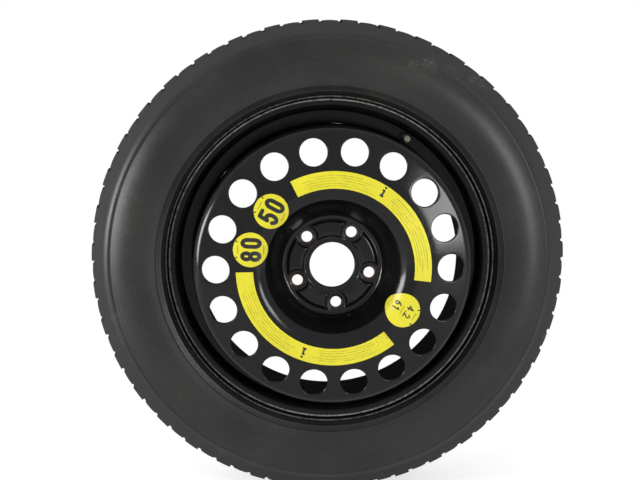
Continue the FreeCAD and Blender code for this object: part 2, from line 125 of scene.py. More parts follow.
@dataclass(frozen=True)
class Section:
    """A bent outline: corner points of (radius, reach) with a round bend at each inner corner."""

    points: tuple[tuple[float, float], ...]
    bends: tuple[float, ...]

    def path(self, step: float, bend_steps: int) -> Array:
        """Walk along the outline.

        Each bend is the circle that touches both of its runs: it starts bend / tan(half the corner's
        angle) before the corner and its centre lies on the corner's bisector.

        Args:
            step: longest distance between points on a straight run.
            bend_steps: number of steps in each bend.

        Returns:
            The points in order, two columns of radius and reach.
        """
        corners = np.array(self.points, float)
        pieces = []
        start = corners[0]
        for before, corner, after, bend in zip(corners, corners[1:], corners[2:], self.bends):
            back, ahead = unit(before - corner), unit(after - corner)
            half = math.acos(float(np.clip(back @ ahead, -1.0, 1.0))) / 2
            trim = bend / math.tan(half)
            touch = corner + back * trim
            centre = corner + unit(back + ahead) * bend / math.sin(half)
            pieces.append(self._run(start, touch, step))
            first = touch - centre
            sweep = math.pi - 2 * half
            side = math.copysign(1.0, first[1] * back[0] - first[0] * back[1])
            turn = side * np.linspace(0.0, sweep, bend_steps + 1)[:-1]
            pieces.append(centre + np.stack([
                first[0] * np.cos(turn) - first[1] * np.sin(turn),
                first[0] * np.sin(turn) + first[1] * np.cos(turn)], axis=-1))
            start = corner + ahead * trim
        pieces.append(self._run(start, corners[-1], step))
        return np.concatenate(pieces + [corners[-1:]])

    @staticmethod
    def _run(start: Array, end: Array, step: float) -> Array:
        """Divide a straight run into equal steps, leaving out its last point.

        Args:
            start: where the run starts.
            end: where it ends.
            step: longest distance between points.

        Returns:
            The points.
        """
        count = max(1, math.ceil(float(np.linalg.norm(end - start)) / step))
        return start + (end - start) * (np.arange(count) / count)[:, None]


def left_normals(path: Array) -> Array:
    """Give the unit normals on the left of an open path, from the direction between its neighbours.

    Args:
        path: points in order, two columns.

    Returns:
        The normal at each point.
    """
    tangent = unit(np.gradient(path, axis=0))
    return np.stack([-tangent[:, 1], tangent[:, 0]], axis=-1)


@dataclass
class Skin:
    """Gathers the patches of one piece and joins them into a closed mesh."""

    SEAM: ClassVar[float] = 0.003 * MM
    patches: list[Array] = field(default_factory=list)
    faces: list[Array] = field(default_factory=list)
    shares: list[Array] = field(default_factory=list)
    count: int = 0

    def grid(self, points: Array, ring: bool = False, share: Array | float = 0.0) -> None:
        """Add a patch of points on a grid of rows and columns.

        Args:
            points: rows by columns by three.
            ring: join the last column to the first.
            share: the share of print, of wear and, on the rim, of painted highlight at each point.
        """
        rows, columns = points.shape[:2]
        index = self.count + np.arange(rows * columns).reshape(rows, columns)
        if ring:
            index = np.concatenate([index, index[:, :1]], axis=1)
        corners = [index[:-1, :-1], index[:-1, 1:], index[1:, 1:], index[1:, :-1]]
        self.faces.append(np.stack(corners, axis=-1).reshape(-1, 4))
        self.patches.append(points.reshape(-1, 3))
        self.shares.append(np.broadcast_to(share, (rows, columns)).reshape(-1))
        self.count += rows * columns

    def build(self, name: str, material: bpy.types.Material, body: Body, slot: Slot,
              sharp_deg: float = 50.0) -> bpy.types.Object:
        """Merge the seams of the patches and make the piece.

        Args:
            name: name of the piece.
            material: its finish.
            body: the body it rides on.
            slot: the record's finish that it stands for; not used.
            sharp_deg: edges that turn by more than this stay crisp.

        Returns:
            The new object, at the origin.
        """
        mesh = bpy.data.meshes.new(name)
        mesh.from_pydata(np.concatenate(self.patches).tolist(), [], np.concatenate(self.faces).tolist())
        layer = mesh.attributes.new("share", "FLOAT", "POINT")
        layer.data.foreach_set("value", np.concatenate(self.shares).astype(np.float32))
        shell = bmesh.new()
        shell.from_mesh(mesh)
        bmesh.ops.remove_doubles(shell, verts=shell.verts, dist=self.SEAM)
        bmesh.ops.recalc_face_normals(shell, faces=shell.faces)
        shell.to_mesh(mesh)
        shell.free()
        mesh.polygons.foreach_set("use_smooth", np.ones(len(mesh.polygons), bool))
        mesh.update()
        mesh.set_sharp_from_angle(angle=math.radians(sharp_deg))
        mesh.materials.append(material)
        piece = bpy.data.objects.new(name, mesh)
        bpy.context.scene.collection.objects.link(piece)
        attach(piece, body.value)
        LOG.info("%s: %d faces", name, len(mesh.polygons))
        return piece


@dataclass(frozen=True)
class DiscForm:
    """The pressed disc's sizes and its outboard surface."""

    thickness: float = 4.0 * MM
    bore: float = 33.3 * MM
    bore_round: float = 1.5 * MM
    bolt_circle: float = 56.0 * MM
    bolt_count: int = 5
    bolt_phase: float = math.radians(59.7)
    bolt_hole: float = 8.0 * MM
    bolt_land: float = 1.8 * MM
    seat: float = 12.0 * MM
    pocket: float = 14.5 * MM
    pocket_slope: float = 0.6
    ridge_inner: float = 41.0 * MM
    ridge_outer: float = 67.5 * MM
    ridge_rise: float = 4.5 * MM
    ridge_flank: float = 4.5 * MM
    pad: float = 73.0 * MM
    crest: tuple[float, float] = (104.0 * MM, 52.0 * MM)
    shelf: tuple[float, float] = (146.0 * MM, 49.0 * MM)
    shoulder: tuple[float, float] = (203.0 * MM, 36.5 * MM)
    skirt: float = 207.1 * MM
    skirt_step: tuple[float, float] = (2.0 * MM, 9.0 * MM)
    floor_front: float = -65.5 * MM
    skirt_end: float = -89.9 * MM
    vent_circle: float = 169.6 * MM
    vent: float = 19.9 * MM
    vent_count: int = 18
    vent_round: float = 1.4 * MM
    bends_mm: tuple[float, ...] = (5, 5, 5, 5, 6, 26, 120, 15, 12, 12)
    bend_steps: int = 16

    def section(self) -> Section:
        """Draw the outboard outline.

        Returns:
            The outline, from the bore to the end of the skirt.
        """
        low, high = self.thickness, self.thickness + self.ridge_rise
        points = (
            (self.bore, low), (self.ridge_inner, low), (self.ridge_inner + self.ridge_flank, high),
            (self.ridge_outer - self.ridge_flank, high), (self.ridge_outer, low), (self.pad, low),
            self.crest, self.shelf, self.shoulder,
            (self.skirt - self.skirt_step[0], self.floor_front + self.skirt_step[1]),
            (self.skirt, self.floor_front), (self.skirt, self.skirt_end))
        return Section(points, tuple(bend * MM for bend in self.bends_mm))

    def surface(self, step: float = 0.8 * MM) -> tuple[Array, Array]:
        """Give the outline's points, spaced by at most a step, and its outboard normals."""
        path = self.section().path(step, self.bend_steps)
        return path, left_normals(path)

    def over(self, radius: Array) -> tuple[Array, Array]:
        """Look up the outboard surface over a radius inside the skirt.

        Args:
            radius: distance from the axis.

        Returns:
            The reach there, and the normal's radius and reach parts along a last axis.
        """
        path, normal = self.surface()
        inside = path[:, 0] < self.skirt - self.skirt_step[0]
        path, normal = path[inside], normal[inside]
        reach = np.interp(radius, path[:, 0], path[:, 1])
        lean = [np.interp(radius, path[:, 0], normal[:, k]) for k in (0, 1)]
        return reach, np.stack(lean, axis=-1)

    def above(self, flat: Array, height: float) -> Array:
        """Lift points of the disc's face plan on to its surface.

        Args:
            flat: points of (X, Z) along the last axis.
            height: distance above the surface, along its normal.

        Returns:
            The points in space.
        """
        radius, angle = polar(flat)
        reach, lean = self.over(radius)
        return off_surface(radius, reach, lean, angle, height)


@dataclass(frozen=True)
class PiercedSector:
    """A sector of the face plan with one round hole: rays run from the hole to the sector's edge."""

    hole_place: float
    hole_angle: float
    half_angle: float
    inner: float
    outer: float
    arc_steps: int
    side_steps: int

    def edge(self) -> Array:
        """Walk round the sector's edge: the outer arc, one side, the inner arc and the other side.

        Returns:
            The plan points.
        """
        low, high = self.hole_angle - self.half_angle, self.hole_angle + self.half_angle
        along = np.arange(self.arc_steps) / self.arc_steps
        across = np.arange(self.side_steps) / self.side_steps
        depth = self.inner - self.outer
        radius = np.concatenate([
            np.full(self.arc_steps, self.outer), self.outer + depth * across,
            np.full(self.arc_steps, self.inner), self.inner - depth * across])
        angle = np.concatenate([
            low + (high - low) * along, np.full(self.side_steps, high),
            high + (low - high) * along, np.full(self.side_steps, low)])
        return in_plan(radius, angle)

    def rays(self, near: Array, far_steps: int) -> tuple[Array, Array]:
        """Space points along the rays from the hole's centre to the sector's edge.

        A ray has a point at each near distance, then equal steps up to the edge.

        Args:
            near: distances from the hole's centre, the same on every ray.
            far_steps: steps from the last near distance to the edge.

        Returns:
            The plan points, rows by rays by two, and their distances from the hole's centre.
        """
        edge = self.edge()
        centre = in_plan(self.hole_place, self.hole_angle)
        reach = np.linalg.norm(edge - centre, axis=1)
        way = (edge - centre) / reach[:, None]
        share = (np.arange(far_steps) + 1.0)[:, None] / far_steps
        distance = np.concatenate([
            np.repeat(near[:, None], len(edge), axis=1), near[-1] + (reach - near[-1]) * share])
        return centre + way * distance[..., None], distance


class WheelDisc:
    """Builds the pressed disc as one closed sheet with its bore, bolt pockets and vents."""

    HUB_INNER = 36.5 * MM
    HUB_OUTER = 77.0 * MM
    VENTS_INNER = 147.0 * MM
    VENTS_OUTER = 194.4 * MM
    ARC_STEPS = 15
    POCKET_RINGS_MM = (8.0, 8.5, 10.2, 11.5, 12.1, 12.8, 13.7, 14.4, 15.0, 15.7, 16.5, 17.4, 19.0)
    HUB_SIDE_STEPS, HUB_FAR_STEPS = 18, 9
    VENT_SIDE_STEPS, VENT_FAR_STEPS = 15, 4
    BORE_EDGE_POINTS, VENT_EDGE_POINTS = 7, 6
    BOWL_STRIDE = 6
    SKIRT_STEP = 10.0 * MM
    POCKET_SOFTNESS = 0.45 * MM
    EXPONENT_LIMIT = 60.0
    NEARLY_ONE = 1.0 - 1e-12
    WORN_EDGE = 3.4 * MM
    SHARP_DEG = 60.0

    def __init__(self, form: DiscForm) -> None:
        """Keep the disc's sizes and start its skin.

        Args:
            form: the sizes.
        """
        self.form = form
        self.skin = Skin()
        self.columns = self.ARC_STEPS * form.vent_count
        self.step = TURN / self.columns

    def vent_angles(self) -> Array:
        """Give the column angles of the vent zone, which start at the edge of a sector."""
        return -math.pi / self.form.vent_count + self.step * np.arange(self.columns)

    def hub_angles(self) -> Array:
        """Space the columns of the hub zone, each next to its own vent zone column.

        Returns:
            The column angles.
        """
        start = self.form.bolt_phase - math.pi / self.form.bolt_count
        shift = round((start - self.vent_angles()[0]) / self.step)
        twist = start - self.vent_angles()[0] - shift * self.step
        return self.vent_angles() + twist

    def sectors(self, count: int, phase: float, place: float, ends: tuple[float, float],
                side_steps: int) -> list[PiercedSector]:
        """Divide a ring zone into equal sectors with a hole each.

        Args:
            count: number of sectors.
            phase: angle of the first hole.
            place: distance of the holes from the axis.
            ends: inner and outer radius of the zone.
            side_steps: steps along the sides of a sector.

        Returns:
            The sectors.
        """
        return [PiercedSector(place, angle, math.pi / count, *ends, self.columns // count, side_steps)
                for angle in phase + all_round(count)]

    def both_sides(self, radius: Array, reach: Array, lean: Array, angle: Array) -> None:
        """Add a ring zone's outboard face and, a thickness behind it, its inboard face.

        Args:
            radius: distance from the axis.
            reach: distance outboard of the hub plane.
            lean: the normal's radius and reach parts along the last axis.
            angle: clock angle.
        """
        for depth in (0.0, self.form.thickness):
            self.skin.grid(off_surface(radius, reach, lean, angle, -depth), ring=True)

    def pierced(self, front: Array, back: Array, wear: Array | float = 0.0) -> None:
        """Add a pierced sector's two faces and the wall of its hole.

        Args:
            front: the outboard points, with the edge of the hole as the first row.
            back: the inboard points.
            wear: the share of wear at the outboard points.
        """
        self.skin.grid(front, ring=True, share=wear)
        self.skin.grid(back, ring=True)
        self.skin.grid(np.stack([front[0], back[0]]), ring=True)

    def hub_sheet(self, flat: Array, distance: Array) -> tuple[Array, Array]:
        """Press the bolt pockets into the hub pad.

        The surface is the soft minimum of the pad and of a pocket about each bolt: a flat seat with a
        sloping wall outside and a conical bolt seat inside. Behind it the sheet keeps its thickness,
        down to the flat hub plane.

        Args:
            flat: plan points of (X, Z).
            distance: their distances from the bolt's centre.

        Returns:
            The outboard points and the inboard points.
        """
        form = self.form
        radius, angle = polar(flat)
        pad, lean = form.over(radius)
        pocket = form.thickness + np.maximum(0.0, distance - form.pocket) / form.pocket_slope
        cone_slope = (form.thickness - form.bolt_land) / (form.seat - form.bolt_hole)
        cone = np.maximum(0.0, form.seat - distance) * cone_slope
        soft, limit = self.POCKET_SOFTNESS, self.EXPONENT_LIMIT
        part = 1.0 / (1.0 + np.exp(np.clip((pocket - pad) / soft, -limit, limit)))
        reach = pad + soft * np.log1p(-np.minimum(part, self.NEARLY_ONE)) - cone
        lean_in = lean[..., 0] * (1.0 - part)
        lean_out = lean[..., 1] * (1.0 - part) + part
        back = np.maximum(0.0, reach - form.thickness * lean_out)
        return on_wheel(radius, reach, angle), on_wheel(radius - form.thickness * lean_in, back, angle)

    def add_hub(self) -> None:
        """Add the bore's edge and the five sectors with a bolt hole each."""
        form = self.form
        near = np.array(self.POCKET_RINGS_MM) * MM
        for sector in self.sectors(form.bolt_count, form.bolt_phase, form.bolt_circle,
                                   (self.HUB_INNER, self.HUB_OUTER), self.HUB_SIDE_STEPS):
            flat, distance = sector.rays(near, self.HUB_FAR_STEPS)
            front, back = self.hub_sheet(flat, distance)
            wear = np.clip((form.bolt_hole + self.WORN_EDGE - distance) / self.WORN_EDGE, 0.0, 1.0)
            self.pierced(front, back, wear)
        turn = np.linspace(0.0, math.pi / 2, self.BORE_EDGE_POINTS)
        radius = np.concatenate([
            [self.HUB_INNER], form.bore + form.bore_round * (1 - np.sin(turn)), [form.bore, self.HUB_INNER]])
        reach = np.concatenate([
            [form.thickness], form.thickness - form.bore_round * (1 - np.cos(turn)), [0.0, 0.0]])
        self.skin.grid(on_wheel(radius[:, None], reach[:, None], self.hub_angles()), ring=True)

    def add_bowl(self) -> None:
        """Add the bowl and the label shelf, whose columns twist slightly from the hub's to the vents'."""
        path, _ = self.form.surface()
        radius = path[(path[:, 0] > self.HUB_OUTER) & (path[:, 0] < self.VENTS_INNER), 0]
        radius = np.concatenate([[self.HUB_OUTER], radius[1:-1:self.BOWL_STRIDE], [self.VENTS_INNER]])
        reach, lean = self.form.over(radius)
        share = np.linspace(0.0, 1.0, len(radius))[:, None]
        angle = self.hub_angles() * (1 - share) + self.vent_angles() * share
        self.both_sides(radius[:, None], reach[:, None], lean[:, None], angle)

    def add_vents(self) -> None:
        """Add the eighteen sectors with a round-edged vent each."""
        form = self.form
        turn = np.linspace(math.pi / 2, 0.0, self.VENT_EDGE_POINTS)
        near = form.vent + form.vent_round * (1 - np.sin(turn))
        rounded = form.vent_round * (1 - np.cos(turn))
        sunk = np.concatenate([rounded, np.zeros(self.VENT_FAR_STEPS)])[:, None]
        for sector in self.sectors(form.vent_count, 0.0, form.vent_circle,
                                   (self.VENTS_INNER, self.VENTS_OUTER), self.VENT_SIDE_STEPS):
            flat, _ = sector.rays(near, self.VENT_FAR_STEPS)
            radius, angle = polar(flat)
            reach, lean = form.over(radius)
            self.pierced(*(off_surface(radius, reach, lean, angle, -depth)
                           for depth in (sunk, form.thickness - sunk)))

    def add_skirt(self) -> None:
        """Add the shoulder and the skirt down to its end."""
        path, normal = self.form.surface(self.SKIRT_STEP)
        outer = path[:, 0] > self.VENTS_OUTER
        reach, lean = self.form.over(np.array([self.VENTS_OUTER]))
        path = np.concatenate([[[self.VENTS_OUTER, reach[0]]], path[outer][1:]])
        normal = np.concatenate([lean, normal[outer][1:]])
        normal[-1] = (1.0, 0.0)
        angle = self.vent_angles()
        self.both_sides(path[:, :1], path[:, 1:], normal[:, None], angle)
        end = path[-1:] - np.array([[0.0, 0.0], [self.form.thickness, 0.0]])
        self.skin.grid(on_wheel(end[:, :1], end[:, 1:], angle), ring=True)

    def build(self, paint: bpy.types.Material) -> bpy.types.Object:
        """Join the zones into one sheet.

        Args:
            paint: the disc's finish.

        Returns:
            The disc.
        """
        self.add_hub()
        self.add_bowl()
        self.add_vents()
        self.add_skirt()
        disc = self.skin.build("pressed_disc", paint, Body.WHEEL, Slot.PAINT, self.SHARP_DEG)
        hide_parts("wheel_disc")
        return disc


@dataclass(frozen=True)
class RimBarrel:
    """The rolled rim: two curled flanges, two bead seats and a drop centre."""

    thickness: float = 2.8 * MM
    middle: float = -88.0 * MM
    half_width: float = 50.8 * MM
    bead_seat: float = 231.0 * MM
    bead_taper: float = 1.5 * MM
    flange_height: float = 17.3 * MM
    flange_lip: float = 11.0 * MM
    well_depth: float = 21.0 * MM
    well_front: float = 24.0 * MM
    well_front_run: float = 1.5 * MM
    well_floor: float = 32.0 * MM
    well_rear_run: float = 17.0 * MM
    bends_mm: tuple[float, ...] = (8.5, 6.5, 3.5, 1.5, 12, 12, 6.5, 8.5)
    run_step: float = 3.0 * MM
    bend_steps: int = 9
    lip_steps: int = 8
    columns: int = 240
    # Rows of the flange curl that carry a painted highlight, and the strength of the painted highlight on the
    # lip.
    highlight_rows: tuple[int, int] = (7, 9)
    lip_highlight: float = 0.35
    sharp_deg: float = 60.0

    def section(self) -> Section:
        """Draw the tyre side of the rim.

        Returns:
            The outline, between the roots of the rounded lips.
        """
        flange = self.bead_seat + self.flange_height
        ledge = self.bead_seat - self.bead_taper
        well = self.bead_seat - self.well_depth
        front, rear = self.middle + self.half_width, self.middle - self.half_width
        floor_front = self.middle + self.well_front - self.well_front_run
        floor_rear = floor_front - self.well_floor
        straight = self.flange_lip - self.thickness / 2
        points = (
            (flange, front + straight), (flange, front), (self.bead_seat, front),
            (ledge, self.middle + self.well_front),
            (well, floor_front), (well, floor_rear), (ledge, floor_rear - self.well_rear_run),
            (self.bead_seat, rear), (flange, rear), (flange, rear - straight))
        return Section(points, tuple(bend * MM for bend in self.bends_mm))

    def build(self, paint: bpy.types.Material) -> bpy.types.Object:
        """Turn the closed section of the bent sheet, with a half circle at each lip.

        A painted highlight, a pale grey share, lies on the outboard curl of the flange and a little on its lip.

        Args:
            paint: the rim's finish.

        Returns:
            The rim.
        """
        outer = self.section().path(self.run_step, self.bend_steps)
        normal = left_normals(outer)
        normal[0] = normal[-1] = (1.0, 0.0)
        inner = outer - self.thickness * normal
        turn = np.linspace(0.0, math.pi, self.lip_steps + 1)[1:-1, None]
        half = self.thickness / 2
        rear_lip = outer[-1] + half * np.concatenate([np.cos(turn) - 1.0, -np.sin(turn)], axis=1)
        front_lip = outer[0] + half * np.concatenate([-np.cos(turn) - 1.0, np.sin(turn)], axis=1)
        loop = np.concatenate([outer, rear_lip, inner[::-1], front_lip, outer[:1]])
        # Painted highlight: a pale grey share on the flange curl and the front lip stands in for the light they
        # reflect.
        curl_highlight = np.zeros(len(outer))
        curl_highlight[slice(*self.highlight_rows)] = 1.0
        lip_highlight_share = self.lip_highlight * np.sin(turn[:, 0])
        wear_and_highlight = np.concatenate([np.zeros(len(outer) + len(rear_lip)), curl_highlight[::-1], lip_highlight_share, [0.0]])
        skin = Skin()
        points = on_wheel(loop[:, :1], loop[:, 1:], all_round(self.columns))
        skin.grid(points, ring=True, share=wear_and_highlight[:, None])
        rim = skin.build("rolled_rim", paint, Body.WHEEL, Slot.PAINT, self.sharp_deg)
        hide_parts("rim_barrel")
        return rim


def hermite(start: Array, start_run: Array, end: Array, end_run: Array, steps: int) -> Array:
    """Run a cubic curve between two points with set runs at its ends, leaving out its last point.

    The curve is the usual blend of ends and runs by cubics in t: 2t^3 - 3t^2 + 1, t^3 - 2t^2 + t,
    3t^2 - 2t^3 and t^3 - t^2.

    Args:
        start: where the curve starts.
        start_run: its run there.
        end: where it ends.
        end_run: its run there.
        steps: number of steps.

    Returns:
        The points.
    """
    t = (np.arange(steps) / steps)[:, None]
    return ((2 * t**3 - 3 * t**2 + 1) * start + (t**3 - 2 * t**2 + t) * start_run
            + (3 * t**2 - 2 * t**3) * end + (t**3 - t**2) * end_run)


@dataclass(frozen=True)
class Tyre:
    """The tyre: bead, sidewall, shoulder notches and grooved tread, as a closed ring."""

    middle: float = -88.0 * MM
    radius: float = 362.97 * MM
    crown_drop: float = 5.0 * MM
    tread_half: float = 53.0 * MM
    tread_depth: float = 13.0 * MM
    sidewall: float = 7.0 * MM
    bulge: tuple[float, float] = (297.0 * MM, 78.0 * MM)
    shoulder: tuple[float, float] = (343.0 * MM, 62.0 * MM)
    leave: tuple[float, float] = (248.6 * MM, 59.3 * MM)
    heel: tuple[float, float] = (231.3 * MM, 50.5 * MM)
    bead_width: float = 17.0 * MM
    groove_depth: float = 6.5 * MM
    groove_width: float = 6.0 * MM
    groove_places: tuple[float, float] = (13.0 * MM, 33.0 * MM)
    notch_count: int = 78
    notch_width: float = 6.0 * MM
    notch_depth: float = 9.0 * MM
    shallow_depth: float = 6.5 * MM
    notch_length: float = 17.2 * MM
    cross_depth: float = 3.2 * MM
    land_drop: float = 2.0 * MM
    ribs: tuple[tuple[float, float, float], ...] = (
        (254.0 * MM, 0.6 * MM, 1.0 * MM), (262.0 * MM, 0.5 * MM, 0.6 * MM), (330.5 * MM, 1.7 * MM, 1.3 * MM))
    wall_step: float = 0.12 * MM
    heel_bend: float = 6.5 * MM
    flange_bend: float = 8.8 * MM
    toe_drop: float = 0.95 * MM
    cut_zone: float = 8.4 * MM
    land_round: float = 0.45
    shoulder_rows: tuple[float, ...] = (0.35, 0.7, 0.86, 0.95)
    bend_points: int = 6
    curve_steps: int = 120
    curve_stride: int = 15
    rib_points: int = 7
    tread_points: int = 9
    land_points: int = 5
    air_steps: tuple[int, int] = (9, 10)
    sharp_deg: float = 40.0
    MIRROR: ClassVar[Array] = np.array([1.0, -1.0])
    LEAVE_RUN: ClassVar[Array] = np.array([12.0, 44.0]) * MM
    BULGE_RUN_BELOW: ClassVar[Array] = np.array([52.0, -1.0]) * MM
    BULGE_RUN_ABOVE: ClassVar[Array] = np.array([48.0, -1.0]) * MM
    SHOULDER_RUN: ClassVar[Array] = np.array([40.0, -24.0]) * MM
    BEAD_TOP: ClassVar[Array] = np.array([10.0, 3.0]) * MM
    BEAD_TOP_RUN: ClassVar[Array] = np.array([30.0, 20.0]) * MM
    AIR_BULGE_RUN: ClassVar[Array] = np.array([55.0, 0.0]) * MM
    CROWN_RUN: ClassVar[Array] = np.array([0.0, -80.0]) * MM

    def toe(self) -> Array:
        """Give the inner corner of the bead."""
        return np.array([self.heel[0] - self.toe_drop, self.heel[1] - self.bead_width])

    def side(self) -> Array:
        """Draw one side from the bead toe up to the shoulder.

        The heel and the curl over the flange are quarter circles. The wall is two cubic curves that meet at
        the bulge. Ribs stand on it as bell curves of their height and width about their radius.

        Returns:
            Points of (radius, place).
        """
        corners = (self.heel, self.leave, self.bulge, self.shoulder)
        heel, leave, bulge, shoulder = (np.array(corner) for corner in corners)
        turn = np.linspace(0.0, math.pi / 2, self.bend_points)[:-1, None]
        bend = heel + self.heel_bend * np.concatenate([1 - np.cos(turn), np.sin(turn) - 1], axis=1)
        lift = leave + self.flange_bend * np.concatenate([np.sin(turn) - 1, -np.cos(turn)], axis=1)
        low = hermite(leave, self.LEAVE_RUN, bulge, self.BULGE_RUN_BELOW, self.curve_steps)
        high = hermite(bulge, self.BULGE_RUN_ABOVE, shoulder, self.SHOULDER_RUN, self.curve_steps)
        curve = np.concatenate([low, high, shoulder[None]])
        close = [place + width * np.linspace(-2.0, 2.0, self.rib_points) for place, _, width in self.ribs]
        kept = [part[::self.curve_stride, 0] for part in (low, high)]
        radius = np.unique(np.concatenate([*kept, shoulder[:1], *close]))
        wall = np.stack([radius, np.interp(radius, curve[:, 0], curve[:, 1])], axis=-1)
        rise = sum(height * np.exp(-((wall[:, :1] - place) / width) ** 2)
                   for place, height, width in self.ribs)
        return np.concatenate([self.toe()[None], bend, lift, wall + left_normals(wall) * rise])

    def tread(self) -> Array:
        """Draw the tread from one shoulder's top to the other, with its grooves.

        Returns:
            Points of (radius, place).
        """
        half, step = self.groove_width / 2, self.wall_step
        edges = [sign * place + side * (half + inset) for place in self.groove_places for sign in (-1, 1)
                 for side in (-1, 1) for inset in (-step, step)]
        inner = self.tread_half - self.notch_length
        ends = [sign * (inner + inset) for sign in (-1, 1) for inset in (-step, step)]
        between = list(np.linspace(-self.tread_half, self.tread_half, self.tread_points))
        place = np.array(sorted(edges + ends + between))[::-1]
        radius = self.radius - self.crown_drop * (place / self.tread_half) ** 2
        sunk = np.zeros(len(place), bool)
        for groove in self.groove_places:
            sunk |= np.abs(np.abs(place) - groove) < half
        radius = np.where(sunk, np.minimum(radius, self.radius - self.groove_depth), radius)
        return np.stack([radius, place], axis=-1)

    def air_side(self) -> Array:
        """Draw the air side from the outboard bead toe over the crown to the inboard one.

        Returns:
            Points of (radius, place).
        """
        top = np.array([self.heel[0], self.heel[1] - self.bead_width]) + self.BEAD_TOP
        bulge = np.array([self.bulge[0], self.bulge[1] - self.sidewall])
        crown = np.array([self.radius - self.tread_depth, 0.0])
        low = hermite(top, self.BEAD_TOP_RUN, bulge, self.AIR_BULGE_RUN, self.air_steps[0])
        high = hermite(bulge, self.AIR_BULGE_RUN, crown, self.CROWN_RUN, self.air_steps[1])
        one = np.concatenate([self.toe()[None], low, high])
        return np.concatenate([one, crown[None], (one * self.MIRROR)[::-1]])

    def angles(self) -> Array:
        """Space the columns over each pitch, with close pairs at the walls of its notch.

        Returns:
            The column angles.
        """
        pitch = TURN / self.notch_count
        half = self.notch_width / 2 / self.radius
        step = self.wall_step / self.radius
        one = np.concatenate([[-half - step, -half + step, half - step, half + step],
                              np.linspace(half + step, pitch - half - step, self.land_points)[1:-1]])
        return (pitch * np.arange(self.notch_count)[:, None] + one).reshape(-1)

    def outline(self) -> Array:
        """Draw the closed section: one side, the tread, the other side and the air side.

        Returns:
            Points of (radius, place), the last one equal to the first.
        """
        side = self.side()
        edge = np.array([self.radius - self.crown_drop, self.tread_half])
        rise = side[-1] + (edge - side[-1]) * np.array(self.shoulder_rows)[:, None]
        front = np.concatenate([side, rise])
        rear = (front * self.MIRROR)[::-1]
        return np.concatenate([front, self.tread(), rear, self.air_side()[::-1][1:]])

    def sink(self, loop: Array, angle: Array) -> Array:
        """Sink the cuts and the lower lands into the tread.

        Inside a notch the radius stays under the notch floor, and a shallow cut runs on across the tread
        from it. Deep and shallow notches take turns. Every second land is lower and rounded: its drop is the
        full one less a share of a half sine along the land.

        Args:
            loop: the section's points of (radius, place).
            angle: the column angles.

        Returns:
            The radius at each point and column.
        """
        pitch = TURN / self.notch_count
        place = loop[:, 1:]
        number, land = np.round(angle / pitch), np.floor(angle / pitch)
        inside = np.abs(angle - number * pitch) < self.notch_width / 2 / self.radius
        along = angle / pitch - land
        low = self.land_drop * (1 - self.land_round * np.sin(math.pi * along)) * (land % 2)
        radius = np.repeat(loop[:, :1], len(angle), axis=1)
        drop = np.where(inside, self.cross_depth, low)
        radius = np.where(loop[:, :1] > self.radius - self.cut_zone, radius - drop, radius)
        for sign, deep_turn in ((1, 1), (-1, 0)):
            depth = np.where(number % 2 == deep_turn, self.notch_depth, self.shallow_depth)
            cut = inside & (sign * place > self.tread_half - self.notch_length)
            radius = np.where(cut, np.minimum(radius, self.radius - depth), radius)
        return radius

    def build(self, rubber: bpy.types.Material) -> bpy.types.Object:
        """Turn the section about the axis with its cuts.

        Args:
            rubber: the tyre's finish.

        Returns:
            The tyre.
        """
        loop, angle = self.outline(), self.angles()
        skin = Skin()
        skin.grid(on_wheel(self.sink(loop, angle), self.middle + loop[:, 1:], angle), ring=True)
        tyre = skin.build("moulded_tyre", rubber, Body.WHEEL, Slot.TYRE, self.sharp_deg)
        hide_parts("tyre")
        return tyre


@dataclass(frozen=True)
class Glyphs:
    """Figures drawn by strokes in a cell one unit high, as polylines of (across, up) points."""

    bend_steps: int = 14
    figure_pitch: float = 0.98
    stop_pitch: float = 0.36
    last_gap: float = 0.34

    def arc(self, centre: tuple[float, float], radii: tuple[float, float], start: float, end: float) -> Array:
        """Walk along part of an ellipse.

        Args:
            centre: its middle.
            radii: its half sizes across and up.
            start: angle of the first point in degrees.
            end: angle of the last point.

        Returns:
            The points.
        """
        turn = np.radians(np.linspace(start, end, self.bend_steps))
        return np.array(centre) + np.array(radii) * in_plan(1.0, turn)

    def strokes(self, figure: str) -> list[Array]:
        """Give the strokes of one figure.

        Args:
            figure: a digit or a full stop.

        Returns:
            One polyline per stroke.
        """
        arc = self.arc
        shapes = {
            "0": [np.concatenate([arc((0.32, 0.7), (0.25, 0.26), 0, 180),
                                  arc((0.32, 0.3), (0.25, 0.26), 180, 360), [[0.57, 0.7]]])],
            "1": [np.array([[0.12, 0.76], [0.34, 0.96], [0.34, 0.04]])],
            "2": [np.concatenate([arc((0.32, 0.69), (0.25, 0.27), 165, -40), [[0.06, 0.04], [0.6, 0.04]]])],
            "4": [np.array([[0.46, 0.04], [0.46, 0.96], [0.04, 0.3], [0.64, 0.3]])],
            "5": [np.concatenate([[[0.56, 0.96], [0.12, 0.96], [0.08, 0.5]],
                                  arc((0.31, 0.33), (0.26, 0.29), 130, -155)])],
            "6": [arc((0.32, 0.31), (0.25, 0.27), 0, 360), arc((0.62, 0.33), (0.55, 0.63), 180, 100)],
            "8": [arc((0.32, 0.74), (0.23, 0.22), 0, 360), arc((0.32, 0.28), (0.25, 0.24), 0, 360)],
            ".": [np.array([[0.1, 0.03], [0.1, 0.06]])],
        }
        return shapes[figure]

    def line(self, text: str, height: float, middle: tuple[float, float], narrow: float) -> list[Array]:
        """Set figures side by side about a middle point.

        Args:
            text: the figures.
            height: their height.
            middle: where the line's middle goes.
            narrow: how much the figures are narrowed.

        Returns:
            The strokes, in the units of the height.
        """
        widths = [self.stop_pitch if figure == "." else self.figure_pitch for figure in text]
        starts = np.cumsum([0.0] + widths[:-1]) - (sum(widths) - self.last_gap) / 2
        return [np.array(middle) + height * (stroke + np.array([start, -0.5])) * np.array([narrow, 1.0])
                for figure, start in zip(text, starts) for stroke in self.strokes(figure)]


